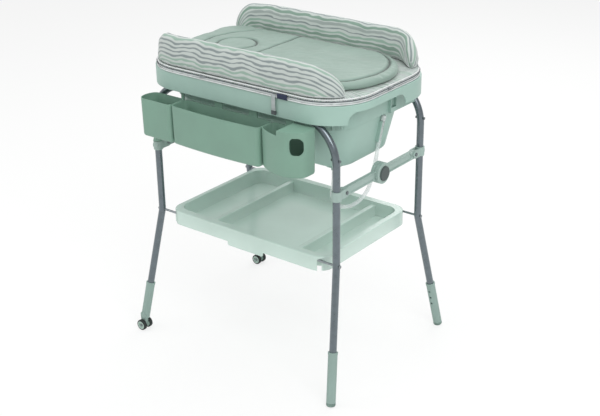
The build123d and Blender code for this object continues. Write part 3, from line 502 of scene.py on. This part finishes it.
def rounded_loop(half_x, half_y, corner, z, steps=12):
    """The points of a rounded rectangle about the upright axis."""
    points = []
    for quarter in range(4):
        sign_x = 1 if quarter in (0, 3) else -1
        sign_y = 1 if quarter in (0, 1) else -1
        for step in range(steps + 1):
            turn = math.pi / 2 * (quarter + step / steps)
            points.append((
                sign_x * (half_x - corner) + corner * math.cos(turn),
                sign_y * (half_y - corner) + corner * math.sin(turn),
                z,
            ))
    return points


def cord_along(name, points, radius):
    """A round cord of trim along a closed loop of points, as a mesh."""
    curve, spline = new_curve(name, "POLY", points)
    curve.bevel_depth = radius
    curve.bevel_resolution = 3
    spline.use_cyclic_u = True
    piece = add_piece(name, curve)
    only(piece)
    bpy.ops.object.convert(target="MESH")
    smooth(piece, 60)
    return piece


def soft_copy(node, name, settings, swell, filled=True):
    """A cloth shell from a soft node's solid, blown up if filled; its underside stays put."""
    # The shell starts inside the solid by this share of its swell
    shrink, frames = 0.35, 20
    piece = copy_of(node, name)
    edit_whole(
        piece, (bpy.ops.mesh.remove_doubles, {"threshold": MERGE}),
        (bpy.ops.mesh.normals_make_consistent, {"inside": False}))
    low_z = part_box(node)[0].z
    modify(piece, "REMESH", mode="VOXEL", voxel_size=settings.voxel, adaptivity=0.0)
    modify(piece, "SMOOTH", factor=0.5, iterations=2)
    start = [v.co - v.normal * swell * shrink for v in piece.data.vertices]
    for vertex, place in zip(piece.data.vertices, start):
        vertex.co = place
    if filled:
        only(piece)
        cloth = piece.modifiers.new("Cloth", "CLOTH")
        cloth.settings.quality = 4
        cloth.settings.use_pressure = True
        cloth.settings.uniform_pressure_force = settings.pressure
        cloth.settings.effector_weights.gravity = 0.0
        cloth.settings.tension_stiffness = 12
        cloth.settings.bending_stiffness = 0.6
        for step in range(1, frames + 1):
            bpy.context.scene.frame_set(step)
        bpy.ops.object.modifier_apply(modifier=cloth.name)
        bpy.context.scene.frame_set(1)
    for vertex, place in zip(piece.data.vertices, start):
        move = vertex.co - place
        if move.length > swell:
            vertex.co = place + move * (swell / move.length)
        vertex.co.z = max(vertex.co.z, low_z)
    modify(piece, "SUBSURF", levels=1, render_levels=1)
    for vertex in piece.data.vertices:
        vertex.co.z = max(vertex.co.z, low_z)
    return piece


def round_off(piece, half_x, half_y, old, new, low_z, high_z):
    """Pulls the corners of a rounded rectangle in to a larger radius, in full from high_z up."""
    # The cuts across each side's new corners let its long faces bend
    mesh = bmesh.new()
    mesh.from_mesh(piece.data)
    steps = 6
    for axis, half in ((0, half_x), (1, half_y)):
        for step in range(steps + 1):
            for sign in (-1, 1):
                spot = [0.0, 0.0, 0.0]
                spot[axis] = sign * (half - new + (new - old) * step / steps)
                normal = [0.0, 0.0, 0.0]
                normal[axis] = 1.0
                everything = [*mesh.verts, *mesh.edges, *mesh.faces]
                bmesh.ops.bisect_plane(
                    mesh, geom=everything, dist=1e-6, plane_co=spot, plane_no=normal)
    spare = new - old
    for vertex in mesh.verts:
        across = Vector((abs(vertex.co.x) - half_x + new, abs(vertex.co.y) - half_y + new))
        share = min(1.0, max(0.0, (vertex.co.z - low_z) / (high_z - low_z)))
        if min(across) <= 0 or share == 0:
            continue
        way = across.normalized()
        lean = spare * (way.x + way.y)
        reach = lean + math.sqrt(max(0.0, lean * lean - 2 * spare * spare + old * old))
        if reach * way.x < spare:
            reach = new / way.y
        elif reach * way.y < spare:
            reach = new / way.x
        scale = 1 + (new / reach - 1) * share
        vertex.co.x = math.copysign(half_x - new + across.x * scale, vertex.co.x)
        vertex.co.y = math.copysign(half_y - new + across.y * scale, vertex.co.y)
    mesh.to_mesh(piece.data)
    mesh.free()


def edge_place(x, y, half_x, half_y, corner):
    """How far along a rounded rectangle's edge a point lies, and how far inside it."""
    centre_x, centre_y = half_x - corner, half_y - corner
    across_x, across_y = abs(x) - centre_x, abs(y) - centre_y
    if across_x > 0 and across_y > 0:
        turn = math.atan2(across_y, across_x)
        return centre_y + corner * turn, corner - math.hypot(across_x, across_y)
    if across_x > across_y:
        return abs(y), half_x - abs(x)
    return centre_y + corner * math.pi / 2 + centre_x - abs(x), half_y - abs(y)


def surface(piece):
    """The places and the normals of a mesh's vertices, read once before they are moved."""
    return [(vertex, vertex.co.copy(), vertex.normal.copy()) for vertex in piece.data.vertices]


def set_vectors(piece, name, values):
    """Writes a vector for each vertex, for a material to read."""
    attribute = piece.data.attributes.new(name, "FLOAT_VECTOR", "POINT")
    attribute.data.foreach_set("vector", [part for value in values for part in value])


def set_floats(piece, name, values):
    """Writes a number for each vertex, for a material to read."""
    attribute = piece.data.attributes.new(name, "FLOAT", "POINT")
    attribute.data.foreach_set("value", values)


# Operators


class TABLE_OT_finishes(bpy.types.Operator):
    """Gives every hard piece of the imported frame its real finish"""

    bl_idname = "table.finishes"
    bl_label = "Steel and plastic finishes"

    def execute(self, context):
        colours = context.scene.table_colours
        tube = lacquered_tube(colours.tubes)
        rod = zinc_steel("drawn_zinc_rod", "#9AA1A4", 0.32)
        pin = zinc_steel("zinc_plated_pins", "#7E8588", 0.38)
        tub = moulded_plastic("moulded_polypropylene_tub", colours.tub, 0.36, 0.46)
        bins = moulded_plastic("moulded_polypropylene_bins", colours.bins, 0.40, 0.52)
        tray = clear_tray_plastic(colours.tray)
        sleeve = moulded_plastic("moulded_nylon_sleeves", "#90A7A0", 0.45, 0.58)
        brace = moulded_plastic("moulded_nylon_braces", "#9FB4AD", 0.42, 0.55)
        hub = moulded_plastic("dark_nylon_button", "#4A5453", 0.42, 0.55)
        pad = rubber("grey_green_rubber_pad", "#7E968E")
        wheel = moulded_plastic("pale_nylon_wheel", "#AFC6BC", 0.35, 0.45)
        tyre = rubber("dark_rubber_tyre", "#343A39")
        plug = rubber("white_rubber_plug", "#D9E1DF")
        starts = [
            (("rear_arch_tube", "front_arch_tube", "leg_tube"), tube),
            (("rear_shelf_rod", "front_shelf_rod"), rod),
            (("rear_arch_pins", "front_arch_pins", "rear_brace_pins", "front_brace_pins",
              "hub_rivet", "height_button", "caster_axle"), pin),
            (("tub", "drain_fitting"), tub),
            (("storage",), bins),
            (("shelf_tray",), tray),
            (("foot_sleeve", "caster_sleeve"), sleeve),
            (("brace_clamp", "brace_front", "brace_rear"), brace),
            (("lock_button",), hub),
            (("foot_pad",), pad),
            (("caster_wheel",), wheel),
            (("caster_tyre",), tyre),
            (("drain_plug", "hose_end_cap"), plug),
        ]
        for name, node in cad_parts.items():
            for prefixes, material in starts:
                if name.startswith(prefixes):
                    paint(node, material)
        return {"FINISHED"}


class TABLE_OT_rim(bpy.types.Operator):
    """Gives the tub's rim its wide corners"""

    bl_idname = "table.rim"
    bl_label = "Tub rim"

    # How far under the rim's top the wide corner starts and is full, and how much tighter it is
    # than the mat's
    starts, full, tighter = 90 * MM, 56 * MM, 4 * MM

    def execute(self, context):
        piece = copy_of("tub", "round_rimmed_tub")
        only(piece)
        bpy.ops.mesh.customdata_custom_splitnormals_clear()
        edit_whole(piece, (bpy.ops.mesh.remove_doubles, {"threshold": MERGE}))
        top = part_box("tub")[1]
        corner = context.scene.table_mat.corner - self.tighter
        round_off(piece, top.x, top.y, TUB_CORNER, corner, top.z - self.starts, top.z - self.full)
        smooth(piece, 32)
        finish_piece(piece, "tub_assembly", "tub_green", "tub")
        return {"FINISHED"}


class TABLE_OT_bins(bpy.types.Operator):
    """Draws the two outer bins in to their real length along the bar"""

    bl_idname = "table.bins"
    bl_label = "Outer bins"

    # Only what stands above this height, just under the bins' underside, is drawn in
    floor, share = 691 * MM, 0.68

    def execute(self, context):
        for node, name, start in (
            ("storage_cup", "short_cup", -262 * MM),
            ("storage_end_bin", "short_end_bin", 225 * MM),
        ):
            piece = copy_of(node, name)
            for vertex in piece.data.vertices:
                past = vertex.co.x - start
                if past * start > 0 and vertex.co.z > self.floor:
                    vertex.co.x = start + past * self.share
            finish_piece(piece, "front_frame", "bin_green", node)
        return {"FINISHED"}


class TABLE_OT_mat_base(bpy.types.Operator):
    """Makes the mat's padded base with its piping and zip"""

    bl_idname = "table.mat_base"
    bl_label = "Mat base"

    side_tuck = 2 * MM
    # The print is stretched down the sides and along the edge
    print_drop, print_along = 1.2, 1.7
    # The gathers start this far from the middle, reach their depth over the next stretch and fade
    # from the edge in; nothing moves at the foot of the sides
    gather_start, gather_ease, gather_depth, gather_fade = 260 * MM, 50 * MM, 2.6 * MM, 22
    ripple_depth, flat_foot = 1.0 * MM, 3 * MM
    # The zip's height as a share of the base's
    zip_share = 0.68

    def execute(self, context):
        settings = context.scene.table_mat
        striped = bpy.data.materials["printed_striped_cotton"]
        lining = bpy.data.materials["white_cotton_lining"]
        binding = plain_cloth("white_bias_binding", "#DDE1E1", 1.0)
        zip_tape = plain_cloth("navy_zip_tape", "#3A434B", 0.9, sheen=0.1)
        pulls = zinc_steel("nickel_zip_pull", "#8F9498", 0.3)
        piece = soft_copy("mat_base", "striped_base", settings, swell=2 * MM, filled=False)
        half_x = base_high.x - settings.tuck
        half_y = base_high.y - self.side_tuck
        corner = settings.corner
        stretch = Vector((half_x / base_high.x, half_y / base_high.y, 1.0))
        for vertex in piece.data.vertices:
            vertex.co *= stretch
        round_off(piece, half_x, half_y, MAT_CORNER, corner, base_low.z - 2 * MM, base_low.z - MM)
        cloth = []
        for vertex in piece.data.vertices:
            x, y, z = vertex.co
            along, inside = edge_place(x, y, half_x, half_y, corner)
            down = self.print_drop * (base_high.z - z)
            cloth.append((inside + down, self.print_along * along, 0.0))
            end = min(1.0, max(0.0, (abs(x) - self.gather_start) / self.gather_ease))
            gather = noise.noise(Vector((along * 105, inside * 9, 0.0)))
            ripple = noise.noise(Vector((x, y, 0.0)) * 24)
            if z > base_low.z + self.flat_foot:
                fade = math.exp(-max(0.0, inside) * self.gather_fade)
                vertex.co.z += self.gather_depth * end * gather * fade + self.ripple_depth * ripple
        set_vectors(piece, "cloth", cloth)
        paint(piece, striped, lining)
        for polygon in piece.data.polygons:
            polygon.material_index = 1 if polygon.normal.z < 0.4 else 0
        smooth(piece, 80)
        finish_piece(piece, "mat", "mat_striped", "mat_base")

        zip_z = base_low.z + self.zip_share * (base_high.z - base_low.z)
        cord = settings.piping
        for name, z, out, radius, material, slot in (
            ("base_zip", zip_z, 0.3 * MM, 1.2 * MM, zip_tape, "tag_navy"),
            ("base_top_piping", base_high.z - 0.6 * MM, -2.6 * MM, cord, binding, "mat_striped"),
            ("base_low_piping", base_low.z + 2.2 * MM, -0.4 * MM, cord, binding, "mat_striped"),
        ):
            loop = rounded_loop(half_x + out, half_y + out, corner + out, z)
            wavy = [
                (x, y, z + 0.8 * MM * noise.noise(Vector((x, y, 0)) * 17)) for x, y, z in loop
            ]
            trim = cord_along(name, wavy, radius)
            paint(trim, material)
            finish_piece(trim, "mat", slot)
        self.pull("front_zip_pull", -119 * MM, -half_y, zip_z, pulls)
        self.pull("end_zip_pull", half_x, -23 * MM, zip_z, pulls)
        return {"FINISHED"}

    def pull(self, name, x, y, z, material):
        """A zip slider with its tongue, lying on the zip."""
        along_x = abs(y) > abs(x)
        side, out = Vector((1, 0, 0)), Vector((0, math.copysign(1, y), 0))
        if not along_x:
            side, out = Vector((0, 1, 0)), Vector((math.copysign(1, x), 0, 0))
        parts = []
        for shift, long, deep, high in ((0, 9, 4, 6), (10, 14, 2, 4)):
            centre = Vector((x, y, z)) + out * 2.0 * MM + side * shift * MM
            size = Vector((long, deep, high) if along_x else (deep, long, high)) * MM
            part = block(name, centre - size / 2, centre + size / 2)
            modify(part, "BEVEL", width=0.9 * MM, segments=3)
            parts.append(part)
        only(parts[0])
        parts[1].select_set(True)
        bpy.ops.object.join()
        smooth(parts[0], 50)
        paint(parts[0], material)
        finish_piece(parts[0], "mat", "pin_steel")


class TABLE_OT_bolsters(bpy.types.Operator):
    """Makes the two striped side bolsters"""

    bl_idname = "table.bolsters"
    bl_label = "Side bolsters"

    # How far the outer face stays inside the base's edge, and the height of the lining at its foot
    inset, lined = 3 * MM, 8 * MM
    # The steps of the middle line round the head, along the straight and round the foot
    head_steps, straight_steps, foot_steps = 30, 120, 44
    # Where the wall rises and widens to its full size: the distance from the end, and the share
    # that is there at the very end
    head_rise, foot_rise = (60 * MM, 0.06), (135 * MM, 0.03)
    head_widen, foot_widen = (26 * MM, 0.06), (40 * MM, 0.05)
    # The section's roundness, as powers of a circle's cosine and sine, and its lean to the top
    round_across, round_up, top_taper = 0.62, 0.6, 0.28
    puff_share, gather_depth, fold_depth, top_fold = 0.05, 1.3 * MM, 2.2 * MM, 1.6 * MM

    def execute(self, context):
        settings = context.scene.table_mat
        striped = printed_stripes(settings.stripe_pitch)
        lining = plain_cloth("white_cotton_lining", "#D5DBDA", 1.1)
        for end, side, head, foot in (
            ("front", -1, settings.front_head_curl, settings.front_curl),
            ("rear", 1, settings.rear_head_curl, settings.rear_curl),
        ):
            low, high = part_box(f"{end}_bolster")
            spots = self.middle_line(settings, side, head, foot)
            piece = self.wall(f"{end}_striped_bolster", spots, settings, low.z, high.z - low.z)
            paint(piece, striped, lining)
            for polygon in piece.data.polygons:
                polygon.material_index = 1 if polygon.center.z < low.z + self.lined else 0
            smooth(piece, 80)
            finish_piece(piece, "mat", "mat_striped", f"{end}_bolster")
        return {"FINISHED"}

    def middle_line(self, settings, side, head, foot):
        """Points along a bolster, head to foot, each with its way out from the mat."""
        bend = settings.corner - self.inset - settings.bolster_thick / 2
        corner_x = base_high.x - settings.tuck - settings.corner
        corner_y = side * (base_high.y - settings.corner)
        turns = [(-1, head * (1 - step / self.head_steps)) for step in range(self.head_steps)]
        turns += [
            (2 * step / self.straight_steps - 1, 0.0) for step in range(self.straight_steps + 1)]
        turns += [(1, foot * (step + 1) / self.foot_steps) for step in range(self.foot_steps)]
        spots = []
        for share, turn in turns:
            out = Vector((math.copysign(math.sin(turn), share), side * math.cos(turn), 0))
            spots.append((Vector((share * corner_x, corner_y, 0)) + bend * out, out))
        return spots

    def wall(self, name, spots, settings, floor, height, sides=44):
        """A padded wall along its middle line: rings that shrink towards both ends."""
        lengths = [0.0]
        for (before, _), (after, _) in zip(spots, spots[1:]):
            lengths.append(lengths[-1] + (after - before).length)
        vertices, cloth = [], []
        for (spot, out), along in zip(spots, lengths):
            left = lengths[-1] - along
            rise = height * self.ease(along, *self.head_rise) * self.ease(left, *self.foot_rise)
            width = self.ease(along, *self.head_widen) * self.ease(left, *self.foot_widen)
            ring = []
            for step in range(sides):
                turn = 2 * math.pi * step / sides - math.pi / 2
                cosine, sine = math.cos(turn), math.sin(turn)
                across = math.copysign(abs(cosine) ** self.round_across, cosine)
                up = 0.5 + 0.5 * math.copysign(abs(sine) ** self.round_up, sine)
                puff = 1 + self.puff_share * noise.noise(Vector((along * 11, up * 2.5, 3.0)))
                gather = noise.noise(Vector((along * 62, up * 2.0, across))) * (1 - up) ** 2
                fold = noise.noise(Vector((along * 7, up * 5.0, across * 0.6 + 8.0)))
                reach = settings.bolster_thick / 2 * (1 - self.top_taper * up ** 1.5) * puff
                reach += self.gather_depth * gather + self.fold_depth * fold
                top = max(0.0, rise * up + self.top_fold * fold * up)
                ring.append(spot + out * reach * across * width + Vector((0, 0, floor + top)))
            round_way = [0.0]
            for before, after in zip(ring, ring[1:]):
                round_way.append(round_way[-1] + (after - before).length)
            ridge = round_way[sides // 2]
            cloth += [(along, way - ridge, 0.0) for way in round_way]
            vertices += ring
        piece = ring_tube(name, vertices, sides)
        edit_whole(piece, (bpy.ops.mesh.normals_make_consistent, {"inside": False}))
        set_vectors(piece, "cloth", cloth)
        return piece

    def ease(self, way, reach, start):
        """A quarter round that is full once way comes near reach."""
        return math.sqrt(1 - (1 - min(1.0, way / reach + start)) ** 2)


class TABLE_OT_liner(bpy.types.Operator):
    """Makes the wipe-clean liner with its sewn channels"""

    bl_idname = "table.liner"
    bl_label = "Green liner"

    # The head half is drawn in to this share of its length
    head_share = 0.97
    crease_depth = 1.3 * MM
    # Sewn lines: one straight across, and arcs about a centre on the middle line, each with its
    # radius and the stretch of x that it is sewn in
    cross_x = -82 * MM
    arcs = (
        (-200 * MM, 64 * MM, -math.inf, math.inf),
        (-89.7 * MM, 219.3 * MM, -math.inf, -150 * MM),
        (135.8 * MM, 195.2 * MM, 144 * MM, math.inf),
    )

    def execute(self, context):
        settings = context.scene.table_mat
        cover = coated_liner(context.scene.table_colours.liner)
        piece = soft_copy("mat_liner", "green_liner", settings, swell=5 * MM)
        low_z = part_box("mat_liner")[0].z
        sewn = []
        for vertex, place, normal in surface(piece):
            x, y = place.x, place.y
            if x < 0:
                place.x *= self.head_share
            pull = math.exp(-((self.seam_gap(x, y) / settings.seam_width) ** 2))
            facing = max(0.0, normal.z)
            crease = noise.noise(Vector((x * 9, y * 26, 1.0)))
            crease += 0.5 * noise.noise(Vector((x, y, 0)) * 60)
            place.z += facing * (self.crease_depth * crease - settings.seam_depth * pull)
            place.z = max(place.z, low_z)
            vertex.co = place
            # The share of painted shade for the cover: strongest in the middle of a sewn channel's
            # groove, on faces that look up
            sewn.append(pull ** 2 * facing)
        set_floats(piece, "sewn", sewn)
        paint(piece, cover)
        smooth(piece, 80)
        finish_piece(piece, "mat", "liner_green", "mat_liner")
        return {"FINISHED"}

    def seam_gap(self, x, y):
        """How far a point of the liner is from the nearest sewn line."""
        gaps = [abs(x - self.cross_x)]
        for centre, radius, start, end in self.arcs:
            if start < x < end:
                gaps.append(abs(math.hypot(x - centre, y) - radius))
        return min(gaps)


class TABLE_OT_trim(bpy.types.Operator):
    """Makes the elastic strap, its hook and the bare tag"""

    bl_idname = "table.trim"
    bl_label = "Strap, hook and tag"

    def execute(self, context):
        elastic = plain_cloth("grey_woven_elastic", "#AEB7B7", 1.6, sheen=0.1, strength=0.5)
        hook = moulded_plastic("dark_nylon_hook", "#4B5254", 0.4, 0.5)
        label = plain_cloth("navy_woven_tag", "#252D47", 1.0, sheen=0.15)
        strap = self.ribbon("elastic_strap", *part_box("mat_strap"), 1.2 * MM)
        paint(strap, elastic)
        finish_piece(strap, "mat", "strap_grey", "mat_strap")
        fitting = self.hook_piece()
        paint(fitting, hook)
        finish_piece(fitting, "mat", "hub_dark", "strap_hook")
        settings = context.scene.table_mat
        thick = 2.2 * MM
        half = Vector((settings.tag_width, thick, settings.tag_height)) / 2
        middle = sum(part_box("mat_tag"), Vector()) / 2
        spot = Vector((middle.x, -base_high.y - thick, (base_low.z + base_high.z) / 2))
        tag = self.ribbon("navy_tag", spot - half, spot + half, 0.8 * MM)
        paint(tag, label)
        finish_piece(tag, "mat", "tag_navy", "mat_tag")
        return {"FINISHED"}

    def ribbon(self, name, low, high, bow):
        """A thin sewn band that bows out a little between its ends."""
        piece = block(name, low, high)
        edit_whole(piece, (bpy.ops.mesh.subdivide, {"number_cuts": 7}))
        for vertex in piece.data.vertices:
            share = (vertex.co.z - low.z) / (high.z - low.z)
            vertex.co.y -= bow * math.sin(math.pi * share)
        modify(piece, "BEVEL", width=0.3 * MM, segments=2, limit_method="ANGLE")
        smooth(piece, 50)
        return piece

    def hook_piece(self):
        """A flat moulded hook: a plate that is sunk inside its border, front and back."""
        piece = block("rim_hook", *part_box("strap_hook"))
        bpy.ops.object.mode_set(mode="EDIT")
        bpy.ops.mesh.select_mode(type="FACE")
        bpy.ops.mesh.select_all(action="DESELECT")
        bpy.ops.object.mode_set(mode="OBJECT")
        for polygon in piece.data.polygons:
            polygon.select = abs(polygon.normal.y) > 0.9
        bpy.ops.object.mode_set(mode="EDIT")
        bpy.ops.mesh.inset(thickness=2.2 * MM, depth=-1.0 * MM)
        bpy.ops.object.mode_set(mode="OBJECT")
        modify(piece, "BEVEL", width=0.7 * MM, segments=3, limit_method="ANGLE")
        smooth(piece, 50)
        return piece


class TABLE_OT_hose(bpy.types.Operator):
    """Makes the clear drain hose along its hanging loop"""

    bl_idname = "table.hose"
    bl_label = "Drain hose"

    route = [
        (0.238, -0.084, 0.643),
        (0.238, -0.084, 0.608),
        (0.244, -0.107, 0.560),
        (0.257, -0.075, 0.521),
        (0.274, -0.021, 0.519),
        (0.293, 0.016, 0.557),
        (0.304, 0.019, 0.611),
        (0.3085, 0.029, 0.655),
        (0.3115, 0.035, 0.697),
        (0.320, 0.035, 0.743),
        (0.3278, 0.035, 0.781),
    ]

    def execute(self, context):
        settings = context.scene.table_hose
        curve, spline = new_curve("hose_line", "NURBS", self.route)
        spline.resolution_u = 16
        spline.order_u = 3
        spline.use_endpoint_u = True
        guide = add_piece("hose_line", curve)
        context.view_layer.update()
        line = bpy.data.meshes.new_from_object(guide)
        path = [vertex.co.copy() for vertex in line.vertices]
        bpy.data.objects.remove(guide)
        hose = self.tube("drain_hose_line", path, settings.diameter / 2, settings.sides)
        paint(hose, clear_hose())
        smooth(hose, 60)
        finish_piece(hose, "tub_assembly", "hose_clear", "drain_hose")
        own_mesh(hose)
        return {"FINISHED"}

    def tube(self, name, path, radius, sides):
        """A closed tube of rings square to a path, carried along without twist."""
        vertices = []
        across = Vector((0, 1, 0))
        for index, point in enumerate(path):
            ahead = path[min(index + 1, len(path) - 1)] - path[max(index - 1, 0)]
            ahead.normalize()
            across = (across - ahead * across.dot(ahead)).normalized()
            up = ahead.cross(across)
            for side in range(sides):
                turn = 2 * math.pi * side / sides
                vertices.append(point + radius * (math.cos(turn) * across + math.sin(turn) * up))
        return ring_tube(name, vertices, sides)


class TABLE_OT_stage(bpy.types.Operator):
    """Sets up the floor, the lamps, the world and the camera"""

    bl_idname = "table.stage"
    bl_label = "Studio"

    def execute(self, context):
        settings = context.scene.table_stage
        scene = context.scene
        bpy.ops.mesh.primitive_plane_add(size=2 * settings.floor_half)
        floor = context.active_object
        floor.name = "studio_floor"
        paint(floor, studio_floor())
        for name, place, aim, size, power in (
            ("key_lamp", (2.6, -1.6, 3.2), (0, 0, 0.7), 2.2, 62),
            ("fill_lamp", (-2.8, -2.4, 2.4), (0, 0, 0.6), 2.6, 26),
            ("back_lamp", (-0.6, 3.0, 2.8), (0, 0, 0.7), 2.4, 34),
            ("top_lamp", (0.0, 0.0, 4.2), (0, 0, 0), 3.4, 46),
        ):
            light = bpy.data.lights.new(name, "AREA")
            light.shape = "SQUARE"
            light.size = size
            light.energy = power
            lamp = add_piece(name, light)
            lamp.location = place
            lamp.rotation_euler = (Vector(aim) - Vector(place)).to_track_quat("-Z", "Y").to_euler()
        self.world(scene)
        self.camera(scene, settings)
        scene.view_settings.view_transform = "Standard"
        return {"FINISHED"}

    def world(self, scene):
        """An even pale room that reads as white to the camera and through clear plastic."""
        world = bpy.data.worlds.new("studio_room")
        scene.world = world
        world.use_nodes = True
        tree = world.node_tree
        tree.nodes.clear()
        path = add_node(tree, "ShaderNodeLightPath").outputs
        seen = calc(tree, "MAXIMUM", path["Is Camera Ray"], path["Is Transmission Ray"])
        strength = remap(tree, seen, (0.0, 1.0), (0.62, 1.0))
        back = add_node(
            tree, "ShaderNodeBackground", {"Color": (1.0, 1.0, 1.0, 1.0), "Strength": strength})
        output = add_node(tree, "ShaderNodeOutputWorld")
        tree.links.new(back.outputs["Background"], output.inputs["Surface"])

    def camera(self, scene, settings):
        """The photograph's camera."""
        data = bpy.data.cameras.new("photo_camera")
        data.lens = settings.lens
        data.sensor_width = 36
        camera = add_piece("photo_camera", data)
        yaw, pitch, roll = settings.yaw, settings.pitch, settings.roll
        back = Vector((
            math.sin(yaw) * math.cos(pitch),
            -math.cos(yaw) * math.cos(pitch),
            math.sin(pitch),
        ))
        level = Vector((math.cos(yaw), math.sin(yaw), 0))
        upright = back.cross(level)
        right = math.cos(roll) * level + math.sin(roll) * upright
        up = -math.sin(roll) * level + math.cos(roll) * upright
        matrix = camera.matrix_world.to_3x3()
        matrix.col[0] = right
        matrix.col[1] = up
        matrix.col[2] = back
        camera.matrix_world = matrix.to_4x4()
        camera.location = settings.camera_place
        scene.camera = camera


class TABLE_PT_panel(bpy.types.Panel):
    """Lists the steps that dress the changing table"""

    bl_idname = "TABLE_PT_panel"
    bl_label = "Changing table"
    bl_space_type = "VIEW_3D"
    bl_region_type = "UI"
    bl_category = "Changing table"

    def draw(self, context):
        for step in STEPS:
            self.layout.operator(step.bl_idname)
        for group in GROUPS:
            box = self.layout.box()
            values = getattr(context.scene, group)
            for name in values.bl_rna.properties.keys():
                if name not in ("rna_type", "name"):
                    box.prop(values, name)


STEPS = (
    TABLE_OT_stage,
    TABLE_OT_finishes,
    TABLE_OT_rim,
    TABLE_OT_bins,
    TABLE_OT_hose,
    TABLE_OT_bolsters,
    TABLE_OT_mat_base,
    TABLE_OT_liner,
    TABLE_OT_trim,
)
GROUPS = {
    "table_mat": MatSettings,
    "table_hose": HoseSettings,
    "table_colours": ColourSettings,
    "table_stage": StageSettings,
}


def register():
    for kind in (*GROUPS.values(), *STEPS, TABLE_PT_panel):
        bpy.utils.register_class(kind)
    for name, kind in GROUPS.items():
        setattr(bpy.types.Scene, name, bpy.props.PointerProperty(type=kind))


def unregister():
    for name in GROUPS:
        delattr(bpy.types.Scene, name)
    for kind in reversed((*GROUPS.values(), *STEPS, TABLE_PT_panel)):
        bpy.utils.unregister_class(kind)


def main():
    register()
    for step in STEPS:
        group, name = step.bl_idname.split(".")
        getattr(getattr(bpy.ops, group), name)()


if __name__ == "__main__":
    main()
